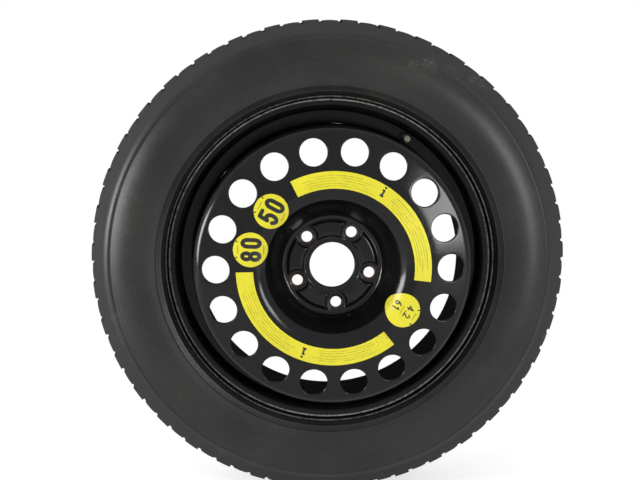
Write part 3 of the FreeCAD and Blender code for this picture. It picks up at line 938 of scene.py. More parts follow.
def stroke_distance(plan: Array, strokes: list[Array] | Array) -> Array:
    """Measure how far points lie from the nearest stroke.

    The distance to each straight stretch is the length from the point to its foot, where the foot's
    share of the way is held between 0 and 1.

    Args:
        plan: points, two along the last axis.
        strokes: polylines.

    Returns:
        The least distance of each point.
    """
    least = np.full(plan.shape[:-1], np.inf)
    for stroke in strokes:
        for start, end in zip(stroke, stroke[1:]):
            run = end - start
            share = np.clip(((plan - start) @ run) / max(float(run @ run), 1e-18), 0.0, 1.0)
            least = np.minimum(least, np.linalg.norm(plan - start - share[..., None] * run, axis=-1))
    return least


@dataclass
class Label:
    """A printed film laid on the disc, with the share of ink kept at its points."""

    form: DiscForm
    node: str
    lift: float = 0.1 * MM
    thickness: float = 0.25 * MM
    soft: float = 0.28 * MM

    def cover(self, distance: Array, half_width: float) -> Array:
        """Turn a distance from a stroke's middle into a share of ink with a soft edge."""
        return np.clip(0.5 + (half_width - distance) / self.soft, 0.0, 1.0)

    def lay(self, flat: Array, ink: Array, ring: bool, film: bpy.types.Material) -> bpy.types.Object:
        """Lay the film on the disc's surface as a closed sheet.

        Args:
            flat: plan points of (X, Z), rows by columns by two.
            ink: the share of ink at each.
            ring: whether the columns go all the way round.
            film: the label's finish.

        Returns:
            The label.
        """
        low = self.form.above(flat, self.lift)
        high = self.form.above(flat, self.lift + self.thickness)
        skin = Skin()
        skin.grid(high, ring, ink)
        skin.grid(low, ring)
        skin.grid(np.stack([low[-1], high[-1]]), ring)
        if not ring:
            skin.grid(np.stack([low[0], high[0]]))
            skin.grid(np.stack([low[:, 0], high[:, 0]]))
            skin.grid(np.stack([low[:, -1], high[:, -1]]))
        label = skin.build(self.node.replace("label", "film"), film, Body.WHEEL, Slot.FILM)
        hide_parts(self.node)
        return label


@dataclass
class ArcLabel(Label):
    """A printed band round the crest, with rows of fine print and one upright mark."""

    inner: float = 115.8 * MM
    outer: float = 140.4 * MM
    start_deg: float = 0.0
    end_deg: float = 90.0
    mark_deg: float = 45.0
    mark_rise: float = 0.0
    seed: int = 1
    scuffed: bool = False
    fine_rows: tuple[float, ...] = (0.16, 0.3, 0.46, 0.62, 0.76)
    grid_rows: int = 47
    columns_per_deg: float = 4.2
    bar: float = 1.1 * MM
    word: float = 6.3 * MM
    word_share: float = 0.8
    faintest: float = 0.3
    fine_half: float = 0.6 * MM
    fine_ink: float = 0.55
    end_clear_deg: float = 5.0
    mark_clear_deg: float = 4.0
    ragged_deg: float = 9.0
    fade: float = 60.0
    scuff_deg: float = 16.0
    scuff_ink: float = 0.7
    scuff_level: float = 0.62
    scuff_gain: float = 8.0

    def middle(self) -> float:
        """Give the radius of the band's middle."""
        return (self.inner + self.outer) / 2

    def fine_print(self, radius: Array, angle: Array) -> Array:
        """Draw rows of short bars along the band, as fine print with ragged ends.

        Args:
            radius: distances from the axis.
            angle: clock angles.

        Returns:
            The share of ink.
        """
        chance = np.random.default_rng(self.seed)
        ink = np.zeros(np.broadcast(radius, angle).shape)
        across = radius - self.inner
        cell, gap = self.bar / self.outer, self.word / self.outer
        middle, clear = math.radians(self.mark_deg), math.radians(self.mark_clear_deg)
        first = math.radians(self.start_deg + self.end_clear_deg)
        last = math.radians(self.end_deg - self.end_clear_deg)
        rest = 1.0 - self.faintest
        for row in self.fine_rows:
            tall = self.cover(np.abs(across - row * (self.outer - self.inner)), self.fine_half)
            bars = self.faintest + rest * chance.random(int(TURN / cell) + 2)
            words = self.faintest + rest * (chance.random(int(TURN / gap) + 2) < self.word_share)
            wide = (np.interp(angle / cell % len(bars), np.arange(len(bars)), bars)
                    * np.interp(angle / gap % len(words), np.arange(len(words)), words))
            ragged = np.radians(chance.uniform(0.0, self.ragged_deg, 4))
            stretches = ((first + ragged[0], middle - clear - ragged[1]),
                         (middle + clear + ragged[2], last - ragged[3]))
            shown = sum(np.clip((angle - low) * self.fade, 0, 1) * np.clip((high - angle) * self.fade, 0, 1)
                        for low, high in stretches)
            ink = np.maximum(ink, self.fine_ink * tall * wide * shown)
        return ink

    def scuffs(self, radius: Array, angle: Array) -> Array:
        """Rub the film near the band's end.

        Seeded specks, each the mean of four neighbours, thicken with the square of the way to the end.

        Args:
            radius: distances from the axis.
            angle: clock angles.

        Returns:
            The share of dark.
        """
        chance = np.random.default_rng(self.seed + 1)
        span = math.radians(self.scuff_deg)
        near = np.clip((angle - math.radians(self.end_deg) + span) / span, 0.0, 1.0) ** 2
        specks = chance.random(np.broadcast(radius, angle).shape)
        specks = sum(np.roll(specks, shift, (0, 1)) for shift in ((0, 0), (1, 0), (0, 1), (1, 1))) / 4
        return self.scuff_ink * np.clip((specks - self.scuff_level) * self.scuff_gain, 0.0, 1.0) * near

    def mark(self, radius: Array, angle: Array) -> Array:
        """Draw the upright mark: a stem on a foot, with a dot over it.

        Args:
            radius: distances from the axis.
            angle: clock angles.

        Returns:
            The share of ink.
        """
        across = (angle - math.radians(self.mark_deg)) * self.middle()
        up = radius - self.middle() - self.mark_rise * MM
        plan = np.stack(np.broadcast_arrays(across, up), axis=-1) / MM
        stem = np.array([[[0.0, -5.6], [0.0, 2.4]], [[-1.8, -5.8], [1.8, -5.8]], [[1.6, 2.4], [0.0, 2.4]]])
        dot = np.array([[[0.0, 6.9], [0.0, 7.0]]])
        return np.maximum(*(self.cover(stroke_distance(plan, strokes) * MM, half * MM)
                            for strokes, half in ((stem, 1.5), (dot, 1.7))))

    def build(self, film: bpy.types.Material) -> bpy.types.Object:
        """Lay out the band's grid, with finely spaced rows for the print.

        Args:
            film: the label's finish.

        Returns:
            The band.
        """
        radius = np.linspace(self.inner, self.outer, self.grid_rows)[:, None]
        steps = int((self.end_deg - self.start_deg) * self.columns_per_deg)
        angle = np.radians(np.linspace(self.start_deg, self.end_deg, steps))
        ink = np.maximum(self.fine_print(radius, angle), self.mark(radius, angle))
        if self.scuffed:
            ink = np.maximum(ink, self.scuffs(radius, angle))
        return self.lay(in_plan(radius, angle), ink, False, film)


@dataclass
class RoundLabel(Label):
    """A round label with lines of figures, each given by its text, height, shift across and rise in mm."""

    place: float = 120.0 * MM
    angle_deg: float = 0.0
    up_deg: float = 0.0
    radius: float = 24.7 * MM
    lines: tuple[tuple[str, float, float, float], ...] = ()
    stroke: float = 2.95 * MM
    narrow: float = 0.72
    fine_places: tuple[float, ...] = (-18.6, 18.0)
    tick_deg: float = 30.5
    tick_ends: tuple[float, float] = (0.9, 1.0)
    tick_half: float = 0.95 * MM
    fine_starts: tuple[float, ...] = (-5.6, -2.6, 0.4, 3.4)
    fine_length: float = 2.0
    fine_half: float = 0.8 * MM
    fine_ink: float = 0.5
    grid_rings: int = 62
    grid_columns: int = 240
    glyphs: Glyphs = Glyphs()

    def printed(self, plan: Array) -> Array:
        """Print the figures, the two ticks at the rim and the fine print.

        Args:
            plan: points of (across, up) about the label's middle.

        Returns:
            The share of ink.
        """
        strokes = [stroke for text, height, shift, rise in self.lines
                   for stroke in self.glyphs.line(text, height * MM, (shift * MM, rise * MM), self.narrow)]
        ends = np.array(self.tick_ends) * self.radius
        ticks = [in_plan(ends, math.radians(90.0 + lean)) for lean in (-self.tick_deg, self.tick_deg)]
        fine = [np.array([[start, rise], [start + self.fine_length, rise]]) * MM
                for rise in self.fine_places for start in self.fine_starts]
        ink = np.zeros(plan.shape[:-1])
        for lines, half, share in ((strokes, self.stroke, 1.0), (ticks, self.tick_half, 1.0),
                                   (fine, self.fine_half, self.fine_ink)):
            ink = np.maximum(ink, share * self.cover(stroke_distance(plan, lines), half))
        return ink

    def build(self, film: bpy.types.Material) -> bpy.types.Object:
        """Lay out the round grid about the label's middle and print it.

        Args:
            film: the label's finish.

        Returns:
            The label.
        """
        top = math.radians(self.up_deg)
        up, read = in_plan(1.0, top), in_plan(1.0, top - math.pi / 2)
        ring = np.linspace(0.0, 1.0, self.grid_rings)[:, None] * self.radius
        plan = in_plan(ring, all_round(self.grid_columns))
        middle = in_plan(self.place, math.radians(self.angle_deg))
        flat = middle + plan[..., :1] * read + plan[..., 1:] * up
        return self.lay(flat, self.printed(plan), True, film)


Socket = bpy.types.NodeSocket


@dataclass
class NodeBench:
    """Adds nodes to a tree and wires them."""

    tree: bpy.types.NodeTree

    def plug(self, socket: Socket, value: object) -> None:
        """Link an output into an input, or set the input to a value.

        Args:
            socket: the input.
            value: a value, or an output to link from.
        """
        if isinstance(value, Socket):
            self.tree.links.new(value, socket)
        else:
            socket.default_value = value

    def add(self, kind: str, sockets: dict[str | int, object] | None = None,
            **settings: object) -> bpy.types.Node:
        """Add a node.

        Args:
            kind: the node's type.
            sockets: inputs by name or index, each a value or an output to link from.
            settings: the node's own properties.

        Returns:
            The node.
        """
        node = self.tree.nodes.new(kind)
        for name, value in settings.items():
            setattr(node, name, value)
        for key, value in (sockets or {}).items():
            self.plug(node.inputs[key], value)
        return node

    def math(self, operation: str, *values: float | Socket) -> Socket:
        """Work out a number from up to three inputs."""
        return self.add("ShaderNodeMath", dict(enumerate(values)), operation=operation).outputs[0]

    def ramp(self, value: Socket, low: float, high: float, start: float = 0.0, end: float = 1.0) -> Socket:
        """Map a range of a value smoothly on to another, held at its ends.

        Args:
            value: the value.
            low: start of its range.
            high: end of its range.
            start: what the start becomes.
            end: what the end becomes.

        Returns:
            The mapped value.
        """
        ends = {"From Min": low, "From Max": high, "To Min": start, "To Max": end}
        node = self.add("ShaderNodeMapRange", {"Value": value, **ends}, interpolation_type="SMOOTHSTEP")
        return node.outputs["Result"]

    def mix(self, share: float | Socket, first: object, second: object) -> Socket:
        """Mix two colours, which are inputs 6 and 7 of the node, with output 2."""
        return self.add("ShaderNodeMix", {"Factor": share, 6: first, 7: second}, data_type="RGBA").outputs[2]

    def noise(self, place: Socket, scale: float | Socket, detail: float = 3.0,
              roughness: float = 0.55) -> Socket:
        """Give a noise value at a place.

        Args:
            place: where.
            scale: its fineness.
            detail: number of finer layers.
            roughness: their strength.

        Returns:
            The value.
        """
        inputs = {"Vector": place, "Scale": scale, "Detail": detail, "Roughness": roughness}
        return self.add("ShaderNodeTexNoise", inputs).outputs["Fac"]

    def object_place(self) -> Socket:
        """Give the piece's own coordinates."""
        return self.add("ShaderNodeTexCoord").outputs["Object"]

    def seen(self) -> Socket:
        """Tell rays from the eye, also by way of a reflection or through glass, from rays of light.

        Returns:
            1 for the first and 0 for the second.
        """
        path = self.add("ShaderNodeLightPath").outputs
        direct = self.math("MAXIMUM", path["Is Camera Ray"], path["Is Transmission Ray"])
        return self.math("MAXIMUM", direct, path["Is Glossy Ray"])


class Effects:
    """Shader groups that several finishes share, each built once."""

    ROUGHNESS = 0.5

    @staticmethod
    def _group(name: str, inputs: dict[str, float],
               outputs: tuple[str, ...]) -> tuple[NodeBench, dict[str, Socket], bpy.types.Node]:
        """Start a group with a place, number inputs and number outputs.

        Args:
            name: the group's name.
            inputs: its number inputs, besides the place, with their values.
            outputs: its number outputs.

        Returns:
            The group's bench, its inputs by name and its output node.
        """
        tree = bpy.data.node_groups.new(name, "ShaderNodeTree")
        tree.interface.new_socket("Place", in_out="INPUT", socket_type="NodeSocketVector")
        for label, value in inputs.items():
            socket = tree.interface.new_socket(label, in_out="INPUT", socket_type="NodeSocketFloat")
            socket.default_value = value
        for label in outputs:
            tree.interface.new_socket(label, in_out="OUTPUT", socket_type="NodeSocketFloat")
        bench = NodeBench(tree)
        given = {item.name: item for item in bench.add("NodeGroupInput").outputs if item.name}
        return bench, given, bench.add("NodeGroupOutput")

    @classmethod
    def mottle(cls) -> bpy.types.NodeTree:
        """Build uneven tone: coarse noise plus a share of fine noise, held between 0 and 1.

        Returns:
            The group.
        """
        inputs = {"Coarse": 12.0, "Fine": 240.0, "Fine Share": 0.3}
        bench, given, out = cls._group("uneven_tone", inputs, ("Tone",))
        coarse = bench.noise(given["Place"], given["Coarse"], 4.0, cls.ROUGHNESS)
        fine = bench.noise(given["Place"], given["Fine"], 2.0, cls.ROUGHNESS)
        blend = bench.add("ShaderNodeMix", {"Factor": given["Fine Share"], 2: coarse, 3: fine},
                          data_type="FLOAT")
        bench.plug(out.inputs["Tone"], bench.ramp(blend.outputs[0], 0.3, 0.7))
        return bench.tree

    @classmethod
    def specks(cls) -> bpy.types.NodeTree:
        """Build dust: small round specks about scattered points, where a noise lets them lie.

        Returns:
            The group.
        """
        bench, given, out = cls._group("dust_specks", {"Scale": 220.0, "Size": 0.1, "Amount": 0.5}, ("Dust",))
        cells = bench.add("ShaderNodeTexVoronoi", {"Vector": given["Place"], "Scale": given["Scale"]})
        near = bench.math("LESS_THAN", cells.outputs["Distance"], given["Size"])
        patch = bench.noise(given["Place"], 30.0, 2.0, cls.ROUGHNESS)
        allow = bench.math("LESS_THAN", patch, given["Amount"])
        bench.plug(out.inputs["Dust"], bench.math("MULTIPLY", near, allow))
        return bench.tree

    @classmethod
    def rings(cls) -> bpy.types.NodeTree:
        """Build fine rings about the wheel axis: noise along the distance from it.

        Returns:
            The group.
        """
        bench, given, out = cls._group("turned_rings", {"Scale": 700.0}, ("Rings", "Radius"))
        parts = bench.add("ShaderNodeSeparateXYZ", {0: given["Place"]}).outputs
        flat = bench.add("ShaderNodeCombineXYZ", {"X": parts["X"], "Y": parts["Z"]}).outputs[0]
        radius = bench.add("ShaderNodeVectorMath", {0: flat}, operation="LENGTH").outputs["Value"]
        along = bench.add("ShaderNodeCombineXYZ", {"X": radius}).outputs[0]
        bench.plug(out.inputs["Rings"], bench.noise(along, given["Scale"], 2.0, cls.ROUGHNESS))
        bench.plug(out.inputs["Radius"], radius)
        return bench.tree

    def __init__(self) -> None:
        """Build every group."""
        self.trees = {"mottle": self.mottle(), "specks": self.specks(), "rings": self.rings()}

    def place(self, bench: NodeBench, name: str, output: str, **values: float | Socket) -> Socket:
        """Put a group into a material.

        Args:
            bench: the material's tree.
            name: the group.
            output: which of its outputs to give.
            values: its inputs, with spaces written as underscores.

        Returns:
            The output.
        """
        inputs = {key.replace("_", " "): value for key, value in values.items()}
        return bench.add("ShaderNodeGroup", inputs, node_tree=self.trees[name]).outputs[output]


Colour = tuple[float, float, float, float]
WHITE: Colour = (1.0, 1.0, 1.0, 1.0)


@dataclass(frozen=True)
class Coat:
    """A material in the making: its nodes, its shader, the uneven tone and the place on the piece."""

    material: bpy.types.Material
    effects: Effects
    bench: NodeBench
    shader: bpy.types.Node
    tone: Socket
    place: Socket

    def feed(self, name: str, value: object) -> None:
        """Set or link an input of the shader."""
        self.bench.plug(self.shader.inputs[name], value)

    def effect(self, name: str, output: str, **values: float) -> Socket:
        """Put a shared group at the coat's place and give one of its outputs."""
        return self.effects.place(self.bench, name, output, Place=self.place, **values)

    def share(self) -> Socket:
        """Give the share of print, of wear and, on the rim, of painted highlight kept at the piece's points."""
        return self.bench.add("ShaderNodeAttribute", attribute_name="share").outputs["Fac"]


@dataclass(frozen=True)
class Finish:
    """A finish with uneven tone between two colours and two roughnesses."""

    name: str
    dark: Colour
    light: Colour
    smooth: float
    rough: float
    specular: float = 0.5
    metallic: float = 0.0
    coarse: float = 14.0
    fine: float = 260.0
    grain: float = 0.0
    grain_scale: float = 900.0
    grain_depth: float = 0.4 * MM

    def start(self, effects: Effects) -> Coat:
        """Make the material with its shader and its uneven tone.

        Args:
            effects: the shared groups.

        Returns:
            The coat, still without roughness and colour.
        """
        material = bpy.data.materials.new(self.name)
        material.use_nodes = True
        material.node_tree.nodes.clear()
        bench = NodeBench(material.node_tree)
        shader = bench.add("ShaderNodeBsdfPrincipled",
                           {"Metallic": self.metallic, "Specular IOR Level": self.specular})
        bench.add("ShaderNodeOutputMaterial", {"Surface": shader.outputs[0]})
        place = bench.object_place()
        tone = effects.place(bench, "mottle", "Tone", Place=place, Coarse=self.coarse, Fine=self.fine)
        return Coat(material, effects, bench, shader, tone, place)

    def roughness(self, coat: Coat) -> Socket:
        """Give the roughness, which follows the tone."""
        return coat.bench.ramp(coat.tone, 0.0, 1.0, self.smooth, self.rough)

    def colour(self, coat: Coat) -> Socket:
        """Give the colour, which follows the tone."""
        return coat.bench.mix(coat.tone, self.dark, self.light)

    def extras(self, coat: Coat) -> None:
        """Wire what a finish has besides; a plain one has nothing."""

    def build(self, effects: Effects) -> bpy.types.Material:
        """Make the finish.

        Args:
            effects: the shared groups.

        Returns:
            The material.
        """
        coat = self.start(effects)
        coat.feed("Roughness", self.roughness(coat))
        if self.grain > 0.0:
            height = coat.bench.noise(coat.place, self.grain_scale, 2.0)
            bump = {"Strength": self.grain, "Distance": self.grain_depth, "Height": height}
            coat.feed("Normal", coat.bench.add("ShaderNodeBump", bump).outputs[0])
        coat.feed("Base Color", self.colour(coat))
        self.extras(coat)
        return coat.material


@dataclass(frozen=True)
class PaintFinish(Finish):
    """Black gloss paint with a slight orange peel, settled dust and a worn tone: rust where it has been rubbed,
    and on the rim a pale grey painted highlight.
    """

    dust: Colour = (0.16, 0.155, 0.14, 1.0)
    dust_share: float = 0.5
    # Rust at the bolt holes; on the rim this colour is a painted highlight.
    wear_and_highlight: Colour = (0.11, 0.042, 0.02, 1.0)

    def colour(self, coat: Coat) -> Socket:
        """Lay the dust and the worn tone, which on the rim is a painted highlight, over the paint.

        Args:
            coat: the material.

        Returns:
            The colour.
        """
        bench = coat.bench
        dust = coat.effect("specks", "Dust", Scale=260.0, Size=0.07, Amount=0.42)
        dusty = bench.mix(bench.math("MULTIPLY", dust, self.dust_share), super().colour(coat), self.dust)
        patchy = bench.ramp(bench.noise(coat.place, 180.0), 0.3, 0.6, 0.25, 1.0)
        return bench.mix(bench.math("MULTIPLY", coat.share(), patchy), dusty, self.wear_and_highlight)


@dataclass(frozen=True)
class RubberFinish(Finish):
    """Tyre rubber with fine moulding rings, a dull tread and chalky scuffs near it."""

    tread: Colour = (0.034, 0.035, 0.034, 1.0)
    tread_specular: float = 0.1
    ring: Colour = (0.08, 0.08, 0.076, 1.0)
    scuff: Colour = (0.16, 0.16, 0.15, 1.0)
    scuff_share: float = 0.55
    scuff_radius: tuple[float, float] = (0.285, 0.335)
    dull_radius: tuple[float, float] = (0.334, 0.342)
    tone_weight: float = 0.3

    def beyond(self, coat: Coat, ends: tuple[float, float]) -> Socket:
        """Give a share that rises from 0 to 1 between two radii."""
        return coat.bench.ramp(coat.effect("rings", "Radius"), *ends)

    def roughness(self, coat: Coat) -> Socket:
        """Let the roughness follow the tone a little and rise on the tread.

        Args:
            coat: the material.

        Returns:
            The roughness.
        """
        dull = self.beyond(coat, self.dull_radius)
        both = coat.bench.math("MULTIPLY_ADD", coat.tone, self.tone_weight, dull)
        return coat.bench.ramp(both, 0.0, 1.0 + self.tone_weight, self.smooth, self.rough)

    def colour(self, coat: Coat) -> Socket:
        """Lay the tread's tone, the rings and the scuffs over the rubber.

        Args:
            coat: the material.

        Returns:
            The colour.
        """
        bench = coat.bench
        plain = bench.mix(self.beyond(coat, self.dull_radius), super().colour(coat), self.tread)
        rings = bench.ramp(coat.effect("rings", "Rings", Scale=520.0), 0.35, 0.7, 0.0, 0.1)
        patch = bench.ramp(bench.noise(coat.place, 9.0, 5.0, 0.68), 0.56, 0.72)
        speckle = bench.ramp(bench.noise(coat.place, 330.0, 3.0, 0.7), 0.42, 0.68)
        near = bench.math("MULTIPLY", self.beyond(coat, self.scuff_radius), patch)
        share = bench.math("MULTIPLY", bench.math("MULTIPLY", near, speckle), self.scuff_share)
        return bench.mix(share, bench.mix(rings, plain, self.ring), self.scuff)

    def extras(self, coat: Coat) -> None:
        """Lower the gloss on the tread."""
        dull = self.beyond(coat, self.dull_radius)
        coat.feed("Specular IOR Level", coat.bench.ramp(dull, 0.0, 1.0, self.specular, self.tread_specular))


@dataclass(frozen=True)
class FilmFinish(Finish):
    """Yellow film printed with black by the share of ink at its points."""

    ink: Colour = (0.004, 0.004, 0.0035, 1.0)

    def colour(self, coat: Coat) -> Socket:
        """Print the ink over the film."""
        return coat.bench.mix(coat.share(), super().colour(coat), self.ink)


@dataclass(frozen=True)
class FloorFinish(Finish):
    """Pale floor that looks white where it is lit and keeps the wheel's shadow."""

    lift: float = 0.6

    def extras(self, coat: Coat) -> None:
        """Add a little light of its own to the eye."""
        coat.feed("Emission Color", WHITE)
        coat.feed("Emission Strength", coat.bench.math("MULTIPLY", coat.bench.seen(), self.lift))


class Palette(Enum):
    """The finishes of the wheel and of the studio."""

    TYRE = RubberFinish("tyre_rubber", (0.007, 0.0074, 0.0068, 1), (0.019, 0.0195, 0.018, 1), 0.34, 0.7,
                        specular=0.24, coarse=9.0, grain=0.25, grain_scale=1300.0)
    PAINT = PaintFinish("black_gloss_paint", (0.003, 0.003, 0.0032, 1), (0.006, 0.006, 0.0062, 1), 0.1, 0.2,
                        specular=0.2, grain=0.04, grain_scale=420.0)
    # The rim's pale grey worn tone is a painted highlight on the flange curl and lip.
    RIM = PaintFinish("rim_gloss_paint", (0.003, 0.003, 0.003, 1), (0.006, 0.006, 0.006, 1), 0.1, 0.2,
                      specular=0.13, grain=0.04, grain_scale=420.0, wear_and_highlight=(0.27, 0.27, 0.25, 1.0))
    FILM = FilmFinish("yellow_film", (0.66, 0.59, 0.018, 1), (0.76, 0.69, 0.03, 1), 0.3, 0.42, specular=0.4)
    VALVE = Finish("valve_rubber", (0.014, 0.014, 0.014, 1), (0.03, 0.03, 0.029, 1), 0.5, 0.7, grain=0.2)
    BRASS = Finish("turned_brass", (0.62, 0.45, 0.2, 1), (0.78, 0.6, 0.3, 1), 0.22, 0.38, metallic=1.0)
    SEAL = Finish("seal_rubber", (0.016, 0.016, 0.016, 1), (0.034, 0.034, 0.034, 1), 0.45, 0.6, grain=0.1)
    SPRING = Finish("spring_steel", (0.42, 0.42, 0.43, 1), (0.6, 0.6, 0.61, 1), 0.18, 0.32, metallic=1.0)
    CAP = Finish("grey_cap_plastic", (0.13, 0.125, 0.1, 1), (0.2, 0.19, 0.155, 1), 0.4, 0.55, grain=0.1)
    FLOOR = FloorFinish("pale_floor", (0.86, 0.86, 0.86, 1), (0.9, 0.9, 0.9, 1), 0.7, 0.85,
                        specular=0.1, coarse=3.0)
    CARD = Finish("dark_card", (0.01, 0.01, 0.01, 1), (0.015, 0.015, 0.015, 1), 0.8, 0.9, specular=0.1)


class ValveAndWelds:
    """Dresses the CAD pieces that keep their solids: finish, slot and width of the eased edges in mm."""

    JOIN = 0.001 * MM
    EASE_SEGMENTS = 2
    EASE_DEG = 35.0
    NODES = {
        "disc_welds": (Palette.PAINT, Slot.PAINT, 0.4), "valve_rubber": (Palette.VALVE, Slot.VALVE, 0.35),
        "valve_stem": (Palette.BRASS, Slot.BRASS, 0.15), "valve_core_body": (Palette.BRASS, Slot.BRASS, 0.1),
        "valve_core_seal": (Palette.SEAL, Slot.SEAL, 0.08), "valve_core_pin": (Palette.BRASS, Slot.BRASS, 0.12),
        "valve_core_spring": (Palette.SPRING, Slot.SPRING, 0.0), "valve_cap": (Palette.CAP, Slot.CAP, 0.15),
        "valve_cap_seal": (Palette.SEAL, Slot.SEAL, 0.1)}

    def dress(self, finishes: dict[Palette, bpy.types.Material]) -> None:
        """Give each piece its finish and eased edges.

        Args:
            finishes: the materials by palette entry.
        """
        for name, (finish, slot, ease) in self.NODES.items():
            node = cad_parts[name]
            node.data.materials.clear()
            node.data.materials.append(finishes[finish])
            if ease > 0.0:
                weld = node.modifiers.new("join_faces", "WELD")
                weld.merge_threshold = self.JOIN
                bevel = node.modifiers.new("eased_edges", "BEVEL")
                bevel.width = ease * MM
                bevel.segments = self.EASE_SEGMENTS
                bevel.limit_method = "ANGLE"
                bevel.angle_limit = math.radians(self.EASE_DEG)
            LOG.info("%s dressed", name)


@dataclass(frozen=True)
class Softbox:
    """A rectangular soft light that faces the wheel; its power is in watts."""

    name: str
    place: tuple[float, float, float]
    size: tuple[float, float]
    power: float
    in_reflections: bool = True
    on_dull_surfaces: bool = True

    def hang(self) -> None:
        """Hang the light at its place."""
        light = bpy.data.lights.new(self.name, "AREA")
        light.shape = "RECTANGLE"
        light.size, light.size_y = self.size
        light.energy = self.power
        lamp = bpy.data.objects.new(self.name, light)
        lamp.visible_glossy = self.in_reflections
        lamp.visible_diffuse = self.on_dull_surfaces
        lamp.location = self.place
        lamp.rotation_euler = (-Vector(self.place)).to_track_quat("-Z", "Y").to_euler()
        bpy.context.scene.collection.objects.link(lamp)


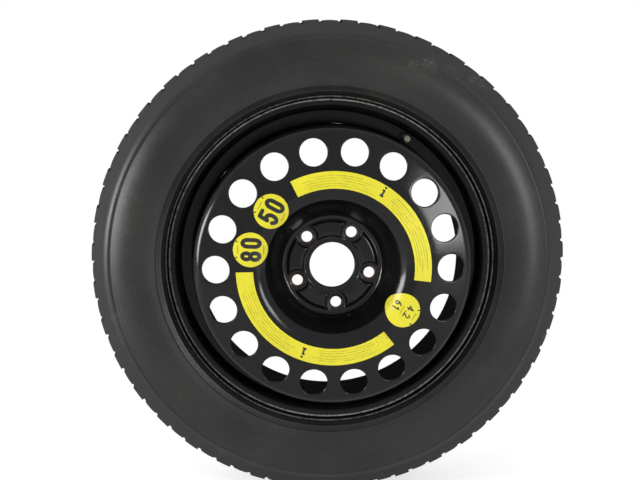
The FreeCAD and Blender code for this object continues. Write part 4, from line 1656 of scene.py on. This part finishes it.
@dataclass(frozen=True)
class Studio:
    """Floor, dark card, lights, white surround and camera."""

    floor_level: float = -363.0 * MM
    floor_width: float = 4.0
    floor_depth: tuple[float, float] = (-2.0, 0.19)
    card_place: float = 1.3
    card_half: float = 1.0
    surround_light: float = 0.4
    softboxes: tuple[Softbox, ...] = (
        Softbox("top_strip", (0.1, -0.45, 2.6), (1.3, 0.4), 18.0, in_reflections=False),
        Softbox("left_softbox", (-2.5, -0.75, 0.35), (0.6, 0.8), 37.0),
        Softbox("left_gleam", (-2.35, -1.25, 0.3), (0.75, 1.1), 62.0, on_dull_surfaces=False),
        Softbox("right_softbox", (1.6, -2.05, 0.33), (0.7, 0.9), 34.0))
    image_width: float = 640.0
    image_height: float = 480.0
    sensor_mm: float = 36.0
    focal_px: float = 948.0
    hub_px: tuple[float, float] = (332.18, 264.65)
    distance: float = 1.4
    tilt_deg: float = 9.59
    bearing_deg: float = 113.7
    hub: tuple[float, float, float] = (0.0, -0.004, 0.0)

    @staticmethod
    def sheet(name: str, corners: list[tuple[float, float, float]],
              material: bpy.types.Material) -> bpy.types.Object:
        """Put a flat sheet into the scene.

        Args:
            name: its name.
            corners: its four corners in order.
            material: its finish.

        Returns:
            The sheet.
        """
        mesh = bpy.data.meshes.new(name)
        mesh.from_pydata(corners, [], [(0, 1, 2, 3)])
        mesh.materials.append(material)
        sheet = bpy.data.objects.new(name, mesh)
        bpy.context.scene.collection.objects.link(sheet)
        return sheet

    def add_floor(self, material: bpy.types.Material) -> None:
        """Lay the floor under the tyre, as deep as the shadow needs.

        Args:
            material: the floor's finish.
        """
        half, level = self.floor_width / 2, self.floor_level
        front, back = self.floor_depth
        floor = self.sheet("floor", [(-half, front, level), (half, front, level), (half, back, level),
                                     (-half, back, level)], material)

    def add_dark_card(self, material: bpy.types.Material) -> None:
        """Stand a dark card far behind the wheel, seen only in reflections.

        Args:
            material: the card's finish.
        """
        half, far = self.card_half, self.card_place
        card = self.sheet("dark_card", [(-half, far, -half), (half, far, -half), (half, far, half),
                                        (-half, far, half)], material)
        card.visible_camera = card.visible_diffuse = card.visible_shadow = card.visible_transmission = False

    def add_surround(self) -> None:
        """Make the surround white to see and in reflections, and softer as a light."""
        world = bpy.data.worlds.new("surround")
        world.use_nodes = True
        world.node_tree.nodes.clear()
        bench = NodeBench(world.node_tree)
        level = bench.ramp(bench.seen(), 0.0, 1.0, self.surround_light, 1.0)
        back = bench.add("ShaderNodeBackground", {"Color": WHITE, "Strength": level})
        bench.add("ShaderNodeOutputWorld", {"Surface": back.outputs[0]})
        bpy.context.scene.world = world

    def add_camera(self) -> None:
        """Aim the camera: look at the hub, then turn left and up until the hub lands on its pixel."""
        tilt, bearing = math.radians(self.tilt_deg), math.radians(self.bearing_deg)
        aside = math.sin(tilt)
        to_camera = Vector((aside * math.cos(bearing), -math.cos(tilt), aside * math.sin(bearing)))
        place = Vector(self.hub) + self.distance * to_camera
        across = math.atan((self.hub_px[0] - self.image_width / 2) / self.focal_px)
        down = math.atan((self.hub_px[1] - self.image_height / 2) / self.focal_px * math.cos(across))
        ahead = -to_camera
        right = ahead.cross(Vector((0, 0, 1))).normalized()
        ahead = (math.cos(across) * ahead - math.sin(across) * right).normalized()
        right = ahead.cross(Vector((0, 0, 1))).normalized()
        up = right.cross(ahead)
        ahead = (math.cos(down) * ahead + math.sin(down) * up).normalized()
        up = right.cross(ahead)
        turn = Matrix((right, up, -ahead)).transposed()
        data = bpy.data.cameras.new("camera")
        data.sensor_width = self.sensor_mm
        data.lens = self.focal_px / self.image_width * data.sensor_width
        camera = bpy.data.objects.new("camera", data)
        camera.matrix_world = Matrix.Translation(place) @ turn.to_4x4()
        bpy.context.scene.collection.objects.link(camera)
        bpy.context.scene.camera = camera

    def build(self, floor: bpy.types.Material, card: bpy.types.Material) -> None:
        """Set up the studio.

        Args:
            floor: the floor's finish.
            card: the dark card's finish.
        """
        self.add_floor(floor)
        self.add_dark_card(card)
        self.add_surround()
        for softbox in self.softboxes:
            softbox.hang()
        self.add_camera()


def add_labels(form: DiscForm, film: bpy.types.Material) -> None:
    """Lay the two bands and the three round labels.

    Args:
        form: the disc that they lie on.
        film: their finish.
    """
    labels = (
        ArcLabel(form, "label_arc_upper", start_deg=-8.0, end_deg=116.4, mark_deg=57.7, mark_rise=2.4,
                 seed=3),
        ArcLabel(form, "label_arc_lower", start_deg=181.3, end_deg=308.2, mark_deg=249.6, seed=8,
                 scuffed=True),
        RoundLabel(form, "label_speed_lower", place=122.7 * MM, angle_deg=136.9, up_deg=152.0,
                   lines=(("50", 26.5, 0.0, -0.8),)),
        RoundLabel(form, "label_speed_upper", place=122.9 * MM, angle_deg=166.2, up_deg=178.0,
                   lines=(("80", 26.5, 0.0, -0.8),)),
        RoundLabel(form, "label_pressure", place=116.4 * MM, angle_deg=-31.3, up_deg=-31.0, stroke=0.95 * MM,
                   narrow=0.85, lines=(("4.2", 10.5, -2.0, 8.0), ("61", 9.5, -2.0, -10.7)),
                   fine_places=(-2.0, 18.5)))
    for label in labels:
        label.build(film)


def main() -> None:
    """Build and dress every piece, then the studio."""
    logging.basicConfig(level=logging.INFO, format="%(name)s: %(message)s")
    bpy.context.scene.view_settings.view_transform = "Standard"
    effects = Effects()
    finishes = {entry: entry.value.build(effects) for entry in Palette}
    form = DiscForm()
    WheelDisc(form).build(finishes[Palette.PAINT])
    RimBarrel().build(finishes[Palette.RIM])
    Tyre().build(finishes[Palette.TYRE])
    add_labels(form, finishes[Palette.FILM])
    ValveAndWelds().dress(finishes)
    Studio().build(finishes[Palette.FLOOR], finishes[Palette.CARD])


if __name__ == "__main__":
    main()
